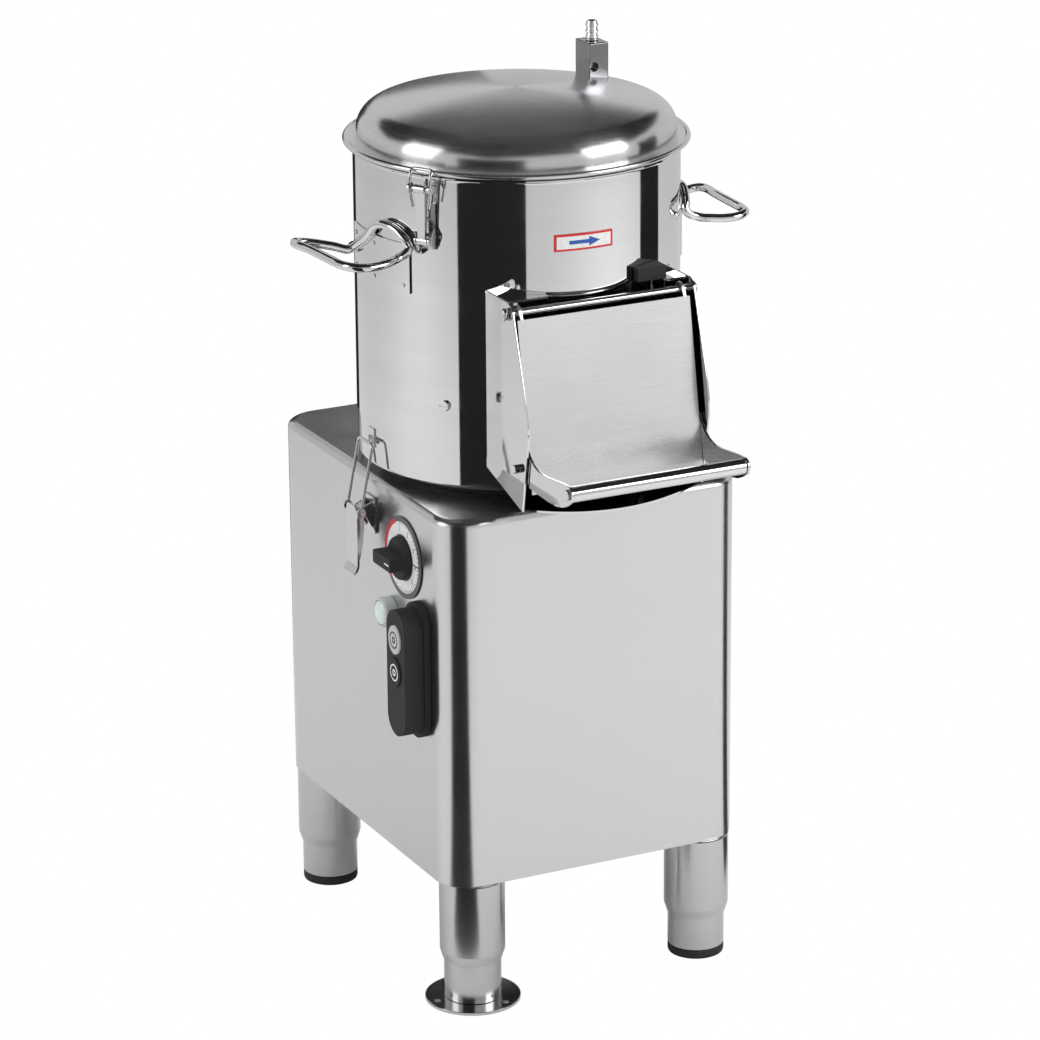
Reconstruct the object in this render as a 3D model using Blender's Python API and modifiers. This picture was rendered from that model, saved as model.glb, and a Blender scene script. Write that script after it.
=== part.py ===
"""Electric potato peeler: steel cabinet on four legs, lift-off drum with chute and door, lift-off lid.

Metres, +Z up. The shapes are written about the cabinet's centre line on the floor (X right, Y back),
and one empty moves them all, so that the world origin is under the middle of the whole machine.
"""
import math

import bmesh
import bpy
from mathutils import Matrix, Vector

MM = 0.001

# Clearances shared by every fit
FIT_GAP = 0.3 * MM
CUT_OVERRUN = 4 * MM
WELD_DISTANCE = 0.001 * MM

# Cabinet
CABINET_WIDTH = 300 * MM
CABINET_DEPTH = 370 * MM
CABINET_HEIGHT = 350 * MM
CABINET_CORNER = 32 * MM
CABINET_SHEET = 2 * MM
CABINET_EDGE_ROUND = 7 * MM
CABINET_CLEARANCE = 120 * MM
BASE_PLATE_THICK = 3 * MM
BASE_OPENING = 200 * MM
BASE_OPENING_CORNER = 20 * MM

# Back cover
COVER_WIDTH = 250 * MM
COVER_HEIGHT = 300 * MM
COVER_THICK = 1.5 * MM
COVER_CORNER = 12 * MM
COVER_LAP = 14 * MM
COVER_SCREW_RADIUS = 4 * MM
COVER_SCREW_HEIGHT = 2.2 * MM
COVER_SCREW_INSET = 8 * MM
VENT_LENGTH = 60 * MM
VENT_WIDTH = 6 * MM
VENT_PITCH = 14 * MM
VENT_ROWS = 5
VENT_DROP = 60 * MM

# Legs
LEG_OFFSET_X = 116.3 * MM
LEG_OFFSET_Y = 158.2 * MM
LEG_SLEEVE_RADIUS = 30 * MM
LEG_TUBE_RADIUS = 26.25 * MM
LEG_SLEEVE_FOOT = 50 * MM
LEG_SLEEVE_TAPER = 9 * MM
LEG_SLEEVE_LIP = 0.65 * MM
LEG_SLEEVE_CAP = 12 * MM
LEG_WELD_RADIUS = 20 * MM
RUBBER_FOOT_HEIGHT = 9 * MM
RUBBER_FOOT_ROUND = 2 * MM
FLANGE_FOOT_RADIUS = 44 * MM
FLANGE_FOOT_THICK = 3 * MM
FLANGE_HOLE_RADIUS = 3.4 * MM
FLANGE_HOLE_CIRCLE = 36 * MM
FLANGE_HOLES = 3

# Drum
DRUM_RADIUS = 148 * MM
DRUM_OFFSET_Y = -26 * MM
DRUM_BOTTOM_GAP = 10 * MM
DRUM_HEIGHT = 287 * MM
DRUM_SHEET = 2 * MM
DRUM_FOOT_ROUND = 4 * MM
DRUM_RIM_REACH = 4 * MM
DRUM_RIM_THICK = 2.5 * MM
FLOOR_COLLAR_WALL = 3 * MM
FLOOR_COLLAR_HEIGHT = 6 * MM
FLOOR_DRAIN_RADIUS = 18 * MM
FLOOR_DRAIN_OFFSET = 90 * MM
SEAT_RING_WIDTH = 14 * MM
SEAT_RING_INSET = 22 * MM
LINER_THICK = 3 * MM
LINER_BOTTOM_LIFT = 32 * MM
LINER_HEIGHT = 190 * MM
DRAIN_SCREW_RADIUS = 5 * MM
DRAIN_SCREW_HEIGHT = 3 * MM
DRAIN_SCREW_AZIMUTH = -52.5
DRAIN_SCREW_LIFT = 77 * MM

# Lid
LID_SIDE_RADIUS = 145 * MM
LID_SHOULDER_RADIUS = 24 * MM
LID_CROWN_RADIUS = 600 * MM
LID_SIDE_HEIGHT = 6.2 * MM
LID_SHEET = 1.8 * MM
LID_BEAD_RADIUS = 2.5 * MM
LID_RIM_RADIUS = 157 * MM
LID_SEAL_HEIGHT = 2.4 * MM
LID_SEAL_WIDTH = 4.6 * MM
INLET_X = 100 * MM
INLET_Y = 19 * MM
INLET_WIDTH = 20 * MM
INLET_DEPTH = 28 * MM
INLET_HEIGHT = 33 * MM
INLET_SINK = 12 * MM
INLET_ROUND = 1.2 * MM
INLET_BORE = 4 * MM
INLET_PORT_RADIUS = 4.5 * MM
INLET_PORT_DEPTH = 6 * MM
INLET_PORT_LIFT = 11 * MM
BARB_LENGTH = 18 * MM
BARB_RADIUS = 6 * MM
BARB_WAIST_SHARE = 0.78
BARB_BORE = 3.4 * MM

# Peeling disc and drive
DISC_RADIUS = 137 * MM
DISC_THICK = 4 * MM
DISC_LIFT = 16 * MM
DISC_GRIT_THICK = 2.5 * MM
DISC_GRIT_MARGIN = 1.5 * MM
DISC_HUB_RADIUS = 20 * MM
DISC_HUB_HEIGHT = 7 * MM
DISC_KNOB_RADIUS = 13 * MM
DISC_KNOB_HEIGHT = 12 * MM
WAVE_LENGTH = 96 * MM
WAVE_WIDTH = 22 * MM
WAVE_HEIGHT = 5 * MM
WAVE_CENTRE = 78 * MM
WAVE_COUNT = 3
SHAFT_RADIUS = 8 * MM
SHAFT_BOTTOM = 326 * MM
SHAFT_BOTTOM_TAIL = 4 * MM
NOSE_RADIUS = 22 * MM
HOUSING_FLANGE_RADIUS = 45 * MM
HOUSING_FLANGE_THICK = 8 * MM
HOUSING_TUBE_RADIUS = 25 * MM
HOUSING_LENGTH = 92 * MM
HOUSING_BORE = 17 * MM
BEARING_THICK = 9 * MM
BEARING_INSET = 2 * MM
BEARING_SPACER_WALL = 3 * MM
PULLEY_HEIGHT = 14 * MM
PULLEY_FLANGE = 2 * MM
BIG_PULLEY_RADIUS = 54 * MM
SMALL_PULLEY_RADIUS = 14 * MM
PULLEY_RIM_REACH = 6 * MM
BELT_THICK = 5 * MM
MOTOR_SPACING = 126 * MM
MOTOR_RADIUS = 52 * MM
MOTOR_HEIGHT = 128 * MM
MOTOR_ROUND = 8 * MM
MOTOR_SHAFT_RADIUS = 7 * MM
MOTOR_PLATE_DROP = 18 * MM
MOTOR_PLATE_THICK = 4 * MM
MOTOR_PLATE_DEPTH = 102 * MM
MOTOR_PLATE_HOLE = 12 * MM
MOTOR_PLATE_FLANGE = 24 * MM
DRAIN_PIPE_RADIUS = 19 * MM
DRAIN_PIPE_WALL = 2 * MM
DRAIN_PIPE_END = 100 * MM
DRAIN_PIPE_AZIMUTH = 125.0

# Chute on the drum
CHUTE_HALF_WIDTH = 90.7 * MM
CHUTE_SHEET = 2 * MM
CHUTE_TOP_LIFT = 187 * MM
CHUTE_FLANGE_WIDTH = 12.5 * MM
CHUTE_FLANGE_MARGIN = 9 * MM
CHUTE_LIP_RADIUS = 208 * MM
CHUTE_FLOOR_BACK_LIFT = 24 * MM
CHUTE_FLOOR_TIP_LIFT = 2.4 * MM
CHUTE_TIP_MARGIN = 0.7 * MM
CHUTE_KNEE_PAST_TIP = 12 * MM
CHUTE_KNEE_LIFT = 70.6 * MM
CHUTE_MID_PAST_TIP = 7.5 * MM
CHUTE_MID_LIFT = 101 * MM
CHUTE_BROW_REACH = 54.5 * MM
CHUTE_BROW_LIFT = 178 * MM
CHUTE_TOP_REACH = 45 * MM
CHUTE_GUSSET_DROP = 4 * MM
WINDOW_HALF_WIDTH = 84 * MM
WINDOW_BOTTOM_LIFT = 28 * MM
WINDOW_HEIGHT = 142 * MM

# Door
HINGE_REACH = 44 * MM
HINGE_LIFT = 176 * MM
HINGE_ROD_RADIUS = 3.5 * MM
HINGE_NUT_RADIUS = 6 * MM
HINGE_NUT_THICK = 5 * MM
DOOR_THICK = 2 * MM
DOOR_TOP_REACH = 10 * MM
DOOR_TOP_DROP = 4 * MM
DOOR_BOTTOM_REACH = 37 * MM
DOOR_BOTTOM_DROP = 156 * MM
DOOR_SIDE_GAP = 0.7 * MM
DOOR_EAR_THICK = 3 * MM
DOOR_EAR_RADIUS = 7 * MM
DOOR_EAR_INSET = 3 * MM
DOOR_ARM_THICK = 2.5 * MM
BAR_RADIUS = 7 * MM
BAR_REACH = 110 * MM
BAR_DROP = 134 * MM
ARM_ROOT_TOP_DROP = 108 * MM
ARM_ROOT_BOTTOM_DROP = 149 * MM
ARM_BELLY_REACH = 80 * MM
ARM_BELLY_DROP = 151 * MM
ARM_NOSE_RADIUS = 8 * MM
BAR_BOLT_RADIUS = 5 * MM
BAR_BOLT_HEIGHT = 2.5 * MM
SENSOR_LEFT = 44 * MM
SENSOR_WIDTH = 30 * MM
SENSOR_HEIGHT = 13 * MM
SENSOR_SETBACK = 12 * MM
SENSOR_ROUND = 4 * MM
CHEEK_STUD_RADIUS = 4 * MM
CHEEK_STUD_HEIGHT = 6 * MM
CHEEK_STUD_INSET = 7 * MM
CHEEK_STUD_LIFT = 40.6 * MM

# Direction label
LABEL_LIFT = 221 * MM
LABEL_HEIGHT = 15 * MM
LABEL_THICK = 1 * MM
LABEL_START = -13.8
LABEL_END = 7.8

# Drum handles
HANDLE_ROD_RADIUS = 4 * MM
HANDLE_WELD = 0.6 * MM
HANDLE_REACH = 60 * MM
HANDLE_SPAN = 115 * MM
# The bent rod as shares of the handle's reach, of its span and of its plate's height
HANDLE_OUTER_REACH = (0.0333, 0.25, 0.4667, 0.6667, 0.8167, 0.8917, 0.9167, 0.9417, 0.9667, 1.0, 0.975,
        0.85,
                      0.6333, 0.3167, 0.0333)
HANDLE_OUTER_SPAN = (-0.5739, -0.6261, -0.6609, -0.6609, -0.6087, -0.513, -0.3652, -0.1217, 0.0522, 0.1913,
                     0.2696, 0.3217, 0.3391, 0.3304, 0.3043)
HANDLE_OUTER_DROP = (0.2, 0.2333, 0.2444, 0.2333, 0.2222, 0.2222, 0.2222, 0.2222, 0.2222, 0.2333,
        0.2444, 0.2889,
                     0.3556, 0.4667, 0.5556)
HANDLE_INNER_AZIMUTHS = (103, 98, 92, 87.5, 84.5, 82, 79, 75.5, 72, 69, 66.5, 65)
HANDLE_INNER_DROP = (0.5111, 0.4, 0.2222, 0.0667, -0.0889, -0.2222, -0.3, -0.3222, -0.3, -0.2222,
        -0.1111, 0.0444)
HANDLE_PLATE_AZIMUTH = 85.0
HANDLE_PLATE_HALF_ANGLE = 19.0
HANDLE_PLATE_THICK = 1.5 * MM
HANDLE_PLATE_TOP_LIFT = 220 * MM
HANDLE_PLATE_DROP = 45 * MM
RIVET_COLUMN_SHARES = (-0.84, 0, 0.84)
RIVET_ROW_SHARES = (0.18, 0.85)
RIVET_RADIUS = 2.2 * MM
RIVET_HEIGHT = 1 * MM

# Latches
LATCH_WIRE = 1.5 * MM
LATCH_PIN = 2 * MM
LATCH_BASE_THICK = 2 * MM
LATCH_PIVOT_STANDOFF = 9 * MM
LATCH_KNUCKLE = 4 * MM
LATCH_BORE_GAP = 0.35 * MM
LATCH_EAR_THICK = 2 * MM
LID_LATCH_AZIMUTHS = (-58.0, 122.0)
LID_LATCH_HALF_WIDTH = 8 * MM
LID_LATCH_PIVOT_LIFT = 229 * MM
LID_LATCH_BASE_DROP = 9 * MM
LID_LATCH_BASE_HEIGHT = 42 * MM
LID_LATCH_ROLLER_RISE = 48 * MM
LID_LATCH_ROLLER_OUT = 4 * MM
LID_LATCH_CLAW_HALF = 10.5 * MM
LID_LATCH_CLAW_TAIL = 17 * MM
LID_LATCH_LEVER_THICK = 2 * MM
LID_LATCH_LUG_RADIUS = 4.6 * MM
LID_LATCH_LUG_THICK = 2.4 * MM
DRUM_LATCH_PIVOT_DROP = 29 * MM
DRUM_LATCH_HALF_WIDTH = 12 * MM
DRUM_LATCH_BASE_TOP = 11 * MM
DRUM_LATCH_BASE_BOTTOM = 24 * MM
DRUM_LATCH_CRANK = 8 * MM
DRUM_LATCH_LEVER_TOP = 5 * MM
DRUM_LATCH_LEVER_TAIL = 60 * MM
DRUM_LATCH_LEVER_THICK = 2 * MM
DRUM_LATCH_TIP_KICK = 5 * MM
DRUM_LATCH_TIP_LENGTH = 7 * MM
DRUM_LATCH_BAIL_HALF = 14.6 * MM
CATCH_HALF_WIDTH = 6 * MM
CATCH_TOP_LIFT = 36 * MM
CATCH_BOTTOM_LIFT = 18 * MM
CATCH_BEAD_LIFT = 22 * MM
CATCH_BEAD_RADIUS = 1.5 * MM
CATCH_BEAD_OUT = 4 * MM
CATCH_THICK = 1.6 * MM

# Controls on the left wall
DIAL_Y = -95 * MM
DIAL_Z = 413 * MM
DIAL_RADIUS = 38 * MM
DIAL_THICK = 1.5 * MM
KNOB_RADIUS = 20.5 * MM
KNOB_SKIRT = 6 * MM
KNOB_GRIP_WIDTH = 13 * MM
KNOB_GRIP_HEIGHT = 15 * MM
KNOB_GRIP_ROUND = 2 * MM
SPINDLE_RADIUS = 3 * MM
SPINDLE_LENGTH = 9 * MM
LAMP_Y = -67 * MM
LAMP_Z = 353 * MM
LAMP_RADIUS = 14 * MM
LAMP_HEIGHT = 12 * MM
LAMP_WALL = 2.5 * MM
LAMP_LENS_DOME = 2.5 * MM
SWITCH_Y = -128 * MM
SWITCH_Z = 317 * MM
SWITCH_HALF_WIDTH = 18.5 * MM
SWITCH_HALF_HEIGHT = 60 * MM
SWITCH_DEPTH = 25 * MM
SWITCH_FLANGE_REACH = 2.2 * MM
SWITCH_FLANGE_RISE = 4.5 * MM
SWITCH_FLANGE_THICK = 6 * MM
SWITCH_EDGE = 1.5 * MM
BUTTON_HALF_WIDTH = 11.5 * MM
BUTTON_HALF_HEIGHT = 13.5 * MM
BUTTON_GAP = 0.5 * MM
BUTTON_POCKET = 11 * MM
BUTTON_LENGTH = 8 * MM
BUTTON_PROUD = 1.8 * MM
BUTTON_EDGE = 0.8 * MM
START_BUTTON_RISE = 32 * MM
STOP_BUTTON_RISE = 1 * MM
ELECTRICS_WIDTH = 48 * MM
ELECTRICS_DEPTH = 92 * MM
ELECTRICS_HEIGHT = 170 * MM
ELECTRICS_ROUND = 3 * MM
GLAND_X = -85 * MM
GLAND_Z = 165 * MM
GLAND_RADIUS = 10 * MM
GLAND_NUT_THICK = 6 * MM
GLAND_LENGTH = 17 * MM
GLAND_BORE = 4.5 * MM

# Places that follow from the sizes above
CABINET_TOP = CABINET_CLEARANCE + CABINET_HEIGHT
DRUM_BOTTOM = CABINET_TOP + DRUM_BOTTOM_GAP
DRUM_TOP = DRUM_BOTTOM + DRUM_HEIGHT
DRUM_CENTRE = Vector((0, DRUM_OFFSET_Y, 0))
WALL_X = CABINET_WIDTH / 2
BACK_Y = CABINET_DEPTH / 2
LID_FLANGE_BOTTOM = DRUM_TOP + FIT_GAP + LID_SEAL_HEIGHT + FIT_GAP
LID_BEAD_CENTRE_RADIUS = LID_RIM_RADIUS - LID_BEAD_RADIUS
LID_BEAD_Z = LID_FLANGE_BOTTOM + LID_SHEET / 2
DISC_BOTTOM = DRUM_BOTTOM + DISC_LIFT
CHUTE_BACK_DEPTH = math.sqrt(DRUM_RADIUS ** 2 - CHUTE_HALF_WIDTH ** 2)
CHUTE_TIP_DEPTH = math.sqrt(CHUTE_LIP_RADIUS ** 2 - CHUTE_HALF_WIDTH ** 2)
CHUTE_TIP_REACH = CHUTE_TIP_DEPTH - CHUTE_BACK_DEPTH + CHUTE_TIP_MARGIN
CHUTE_KNEE_REACH = CHUTE_TIP_REACH + CHUTE_KNEE_PAST_TIP
CHUTE_MID_REACH = CHUTE_TIP_REACH + CHUTE_MID_PAST_TIP
CHEEK_STUD_REACH = CHUTE_TIP_REACH - CHEEK_STUD_INSET
HINGE_Y = DRUM_OFFSET_Y - math.sqrt(DRUM_RADIUS ** 2 - CHUTE_HALF_WIDTH ** 2) - HINGE_REACH
HINGE_Z = DRUM_BOTTOM + HINGE_LIFT
BAR_Y = HINGE_Y - BAR_REACH
BAR_Z = HINGE_Z - BAR_DROP
MOTOR_Y = DRUM_OFFSET_Y + MOTOR_SPACING
FRONT_REACH = BAR_Y - ARM_NOSE_RADIUS
BACK_REACH = BACK_Y + FIT_GAP + COVER_THICK + FIT_GAP + GLAND_LENGTH
ORIGIN_SHIFT = Vector((0, -(FRONT_REACH + BACK_REACH) / 2, 0))

# Smoothness, in counts
ROUND_STEPS = 48
SMALL_STEPS = 24
LEG_STEPS = 28
CORNER_STEPS = 6
ARC_STEPS = 5


def clear_scene():
    for obj in list(bpy.data.objects):
        bpy.data.objects.remove(obj, do_unlink=True)


clear_scene()
PEELER = bpy.data.collections.new("electric_potato_peeler")
CUTTERS = bpy.data.collections.new("cutters")
bpy.context.scene.collection.children.link(PEELER)
bpy.context.scene.collection.children.link(CUTTERS)
ORIGIN = bpy.data.objects.new("machine_origin", None)
ORIGIN.location = ORIGIN_SHIFT
PEELER.objects.link(ORIGIN)


def material(name, colour, metallic, roughness):
    mat = bpy.data.materials.new(name)
    mat.use_nodes = True
    shader = mat.node_tree.nodes["Principled BSDF"]
    shader.inputs["Base Color"].default_value = (*colour, 1)
    shader.inputs["Metallic"].default_value = metallic
    shader.inputs["Roughness"].default_value = roughness
    mat.diffuse_color = (*colour, 1)
    return mat


BRUSHED = material("brushed_steel", (0.62, 0.63, 0.64), 1.0, 0.35)
POLISHED = material("polished_steel", (0.78, 0.79, 0.80), 1.0, 0.08)
SATIN = material("satin_steel", (0.70, 0.71, 0.72), 1.0, 0.25)
PLATED = material("plated_steel", (0.55, 0.56, 0.58), 1.0, 0.2)
CAST = material("cast_aluminium", (0.60, 0.60, 0.62), 1.0, 0.5)
MOTOR_PAINT = material("motor_paint", (0.12, 0.14, 0.17), 0.0, 0.45)
BLACK_PLASTIC = material("black_plastic", (0.02, 0.02, 0.02), 0.0, 0.3)
GREY_PLASTIC = material("grey_plastic", (0.55, 0.56, 0.56), 0.0, 0.4)
DIAL_PRINT = material("dial_print", (0.75, 0.76, 0.76), 0.0, 0.4)
LENS = material("green_lens", (0.55, 0.72, 0.62), 0.0, 0.15)
RUBBER = material("black_rubber", (0.02, 0.02, 0.02), 0.0, 0.8)
GRIT = material("abrasive_grit", (0.10, 0.09, 0.08), 0.0, 0.95)
RED_PRINT = material("red_print", (0.75, 0.05, 0.04), 0.0, 0.4)


def parent_to_origin(obj, mat):
    PEELER.objects.link(obj)
    obj.parent = ORIGIN
    obj.data.materials.clear()
    obj.data.materials.append(mat)
    return obj


def place_mesh(name, mesh, mat, pivot=None):
    """Makes a node of a mesh written about the cabinet, with its origin on its joint's axis."""
    obj = bpy.data.objects.new(name, mesh)
    if pivot is not None:
        mesh.transform(Matrix.Translation(-Vector(pivot)))
        obj.location = Vector(pivot)
    return parent_to_origin(obj, mat)


def as_cutter(obj):
    """Moves an object to the cutters: it shapes others and is no node itself."""
    for collection in list(obj.users_collection):
        collection.objects.unlink(obj)
    CUTTERS.objects.link(obj)
    obj.parent = ORIGIN
    obj.hide_render = True
    obj.display_type = "WIRE"
    return obj


def boolean(target, other, operation):
    as_cutter(other)
    modifier = target.modifiers.new(operation.lower(), "BOOLEAN")
    modifier.operation = operation
    modifier.solver = "EXACT"
    modifier.object = other
    return target


def cut(target, *others):
    for other in others:
        boolean(target, other, "DIFFERENCE")
    return target


def join(target, *others):
    for other in others:
        boolean(target, other, "UNION")
    return target


def close_mesh(mesh):
    bm = bmesh.new()
    bm.from_mesh(mesh)
    bmesh.ops.remove_doubles(bm, verts=bm.verts, dist=WELD_DISTANCE)
    bmesh.ops.recalc_face_normals(bm, faces=bm.faces)
    bm.to_mesh(mesh)
    bm.free()
    return mesh


def turn_matrix(axis):
    """Turns a shape that was made along Z so that it lies along another axis."""
    turns = {
        "X": Matrix.Rotation(math.pi / 2, 4, "Y"),
        "-X": Matrix.Rotation(-math.pi / 2, 4, "Y"),
        "Y": Matrix.Rotation(-math.pi / 2, 4, "X"),
        "Z": Matrix.Identity(4),
        "-Z": Matrix.Rotation(math.pi, 4, "X"),
    }
    return turns[axis]


def box_mesh(name, low, high, bevel=0.0, segments=2):
    bm = bmesh.new()
    bmesh.ops.create_cube(bm, size=1)
    low = Vector(low)
    high = Vector(high)
    size = high - low
    bmesh.ops.scale(bm, vec=size, verts=bm.verts)
    bmesh.ops.translate(bm, vec=(low + high) / 2, verts=bm.verts)
    if bevel:
        bmesh.ops.bevel(bm, geom=bm.edges[:], offset=bevel, segments=segments, affect="EDGES", profile=0.5)
    mesh = bpy.data.meshes.new(name)
    bm.to_mesh(mesh)
    bm.free()
    return mesh


def rod_mesh(name, radius, start, end, steps=SMALL_STEPS):
    """A straight round pin between two points."""
    start = Vector(start)
    end = Vector(end)
    bm = bmesh.new()
    length = (end - start).length
    bmesh.ops.create_cone(bm, cap_ends=True, segments=steps, radius1=radius, radius2=radius, depth=length)
    turn = (end - start).to_track_quat("Z", "Y").to_matrix().to_4x4()
    bmesh.ops.transform(bm, matrix=Matrix.Translation((start + end) / 2) @ turn, verts=bm.verts)
    mesh = bpy.data.meshes.new(name)
    bm.to_mesh(mesh)
    bm.free()
    return mesh


def evaluated_mesh(obj):
    bpy.context.view_layer.update()
    graph = bpy.context.evaluated_depsgraph_get()
    mesh = bpy.data.meshes.new_from_object(obj.evaluated_get(graph))
    data = obj.data
    bpy.data.objects.remove(obj, do_unlink=True)
    if isinstance(data, bpy.types.Curve):
        bpy.data.curves.remove(data)
    return close_mesh(mesh)


def prism_mesh(name, outlines, low, high, axis="Z"):
    """A flat outline, with holes if there are more outlines, extruded from low to high along an axis.

    An outline's points are (x, y) for Z, (y, z) for X and (x, z) for Y.
    """
    curve = bpy.data.curves.new(name, "CURVE")
    curve.dimensions = "2D"
    curve.fill_mode = "BOTH"
    curve.extrude = (high - low) / 2
    for outline in outlines:
        spline = curve.splines.new("POLY")
        spline.points.add(len(outline) - 1)
        for point, (a, b) in zip(spline.points, outline):
            point.co = (a, b, 0, 1)
        spline.use_cyclic_u = True
    obj = bpy.data.objects.new(name, curve)
    PEELER.objects.link(obj)
    mesh = evaluated_mesh(obj)
    middle = (low + high) / 2
    if axis == "Z":
        mesh.transform(Matrix.Translation((0, 0, middle)))
    elif axis == "X":
        mesh.transform(Matrix(((0, 0, 1, middle), (1, 0, 0, 0), (0, 1, 0, 0), (0, 0, 0, 1))))
    else:
        mesh.transform(Matrix(((1, 0, 0, 0), (0, 0, -1, middle), (0, 1, 0, 0), (0, 0, 0, 1))))
    return close_mesh(mesh)


def wire_mesh(name, points, radius, cyclic=False, resolution=2):
    """A round wire along points, with filled ends or closed on itself."""
    curve = bpy.data.curves.new(name, "CURVE")
    curve.dimensions = "3D"
    curve.bevel_depth = radius
    curve.bevel_resolution = resolution
    curve.use_fill_caps = not cyclic
    spline = curve.splines.new("POLY")
    spline.points.add(len(points) - 1)
    for point, place in zip(spline.points, points):
        point.co = (*place, 1)
    spline.use_cyclic_u = cyclic
    obj = bpy.data.objects.new(name, curve)
    PEELER.objects.link(obj)
    return evaluated_mesh(obj)


def turned_mesh(name, profile, steps=ROUND_STEPS):
    """A shape turned about Z from a profile of (radius, height), outer side first, top to bottom."""
    on_axis = profile[0][0] == 0
    mesh = bpy.data.meshes.new(name)
    edges = [(i, i + 1) for i in range(len(profile) - 1)]
    if not on_axis:
        edges.append((len(profile) - 1, 0))
    mesh.from_pydata([(radius, 0, height) for radius, height in profile], edges, [])
    obj = bpy.data.objects.new(name, mesh)
    PEELER.objects.link(obj)
    screw = obj.modifiers.new("turn", "SCREW")
    screw.axis = "Z"
    screw.steps = steps
    screw.render_steps = steps
    screw.use_merge_vertices = True
    screw.merge_threshold = WELD_DISTANCE
    screw.use_normal_calculate = True
    result = evaluated_mesh(obj)
    bpy.data.meshes.remove(mesh)
    return result


def turned_node(name, profile, centre, mat, axis="Z", steps=ROUND_STEPS):
    """A turned node whose object origin is on its own axis."""
    mesh = turned_mesh(name, profile, steps)
    mesh.transform(turn_matrix(axis))
    obj = bpy.data.objects.new(name, mesh)
    obj.location = Vector(centre)
    return parent_to_origin(obj, mat)


def shifted(mesh, offset):
    mesh.transform(Matrix.Translation(Vector(offset)))
    return mesh


def helper(mesh):
    """An object that only cuts or joins, or that is joined up before it becomes a node's mesh."""
    obj = bpy.data.objects.new(mesh.name, mesh)
    CUTTERS.objects.link(obj)
    obj.parent = ORIGIN
    return obj


def arc(centre, radius, start, end, steps=ARC_STEPS):
    """Points on a circle, from one angle to another in degrees, both ends included."""
    points = []
    for i in range(steps + 1):
        angle = math.radians(start + (end - start) * i / steps)
        points.append((centre[0] + radius * math.cos(angle), centre[1] + radius * math.sin(angle)))
    return points


def rounded_rectangle(half_width, half_height, corner, centre=(0, 0), steps=CORNER_STEPS):
    points = []
    for sign_x, sign_y, start in ((1, 1, 0), (-1, 1, 90), (-1, -1, 180), (1, -1, 270)):
        middle = (centre[0] + sign_x * (half_width - corner), centre[1] + sign_y * (half_height - corner))
        points += arc(middle, corner, start, start + 90, steps)
    return points


def stadium(half_width, half_height, centre):
    top = (centre[0], centre[1] + half_height - half_width)
    bottom = (centre[0], centre[1] - half_height + half_width)
    return arc(top, half_width, 0, 180, SMALL_STEPS // 2) + arc(bottom, half_width, 180, 360,
            SMALL_STEPS // 2)


def oval(half_width, half_height, centre):
    points = []
    for i in range(SMALL_STEPS):
        angle = 2 * math.pi * i / SMALL_STEPS
        points.append((centre[0] + half_width * math.cos(angle), centre[1] + half_height * math.sin(angle)))
    return points


def on_drum(azimuth, radius, height):
    """A point by its angle round the drum: 0 is the front, +90 the right side."""
    angle = math.radians(azimuth)
    return Vector((radius * math.sin(angle), DRUM_OFFSET_Y - radius * math.cos(angle), height))


def drum_arc(radius, start, end, steps=ARC_STEPS):
    return [tuple(on_drum(start + (end - start) * i / steps, radius, 0)[:2]) for i in range(steps + 1)]


def drum_y(x, radius=DRUM_RADIUS + FIT_GAP):
    """Where the front of a cylinder about the drum's axis lies, at a distance x from the middle."""
    return DRUM_OFFSET_Y - math.sqrt(radius ** 2 - x ** 2)


def wall_frame(azimuth, centre, distance):
    """Local axes of a wall: x out of the wall, y along it, z up."""
    angle = math.radians(azimuth)
    out = Vector((math.sin(angle), -math.cos(angle), 0))
    along = Vector((math.cos(angle), math.sin(angle), 0))
    foot = Vector(centre) + out * distance
    return Matrix((
        (out.x, along.x, 0, foot.x),
        (out.y, along.y, 0, foot.y),
        (0, 0, 1, foot.z),
        (0, 0, 0, 1),
    ))


# Cabinet and legs
def cabinet_outline(inset):
    return rounded_rectangle(CABINET_WIDTH / 2 - inset, CABINET_DEPTH / 2 - inset, CABINET_CORNER - inset)


def cabinet_block(name, inset, low, top):
    """A block with the cabinet's outline, set in by an amount, with its top edge rounded to match."""
    mesh = prism_mesh(name, [cabinet_outline(inset)], low, top)
    bm = bmesh.new()
    bm.from_mesh(mesh)
    top_edges = [
        e for e in bm.edges
        if all(abs(v.co.z - top) < WELD_DISTANCE for v in e.verts) and len(e.link_faces) == 2
        and any(abs(f.normal.z) < 1 / 2 for f in e.link_faces)
    ]
    rounding = CABINET_EDGE_ROUND - inset
    bmesh.ops.bevel(bm, geom=top_edges, offset=rounding, segments=3, affect="EDGES", profile=0.5)
    bm.to_mesh(mesh)
    bm.free()
    return mesh


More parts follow.
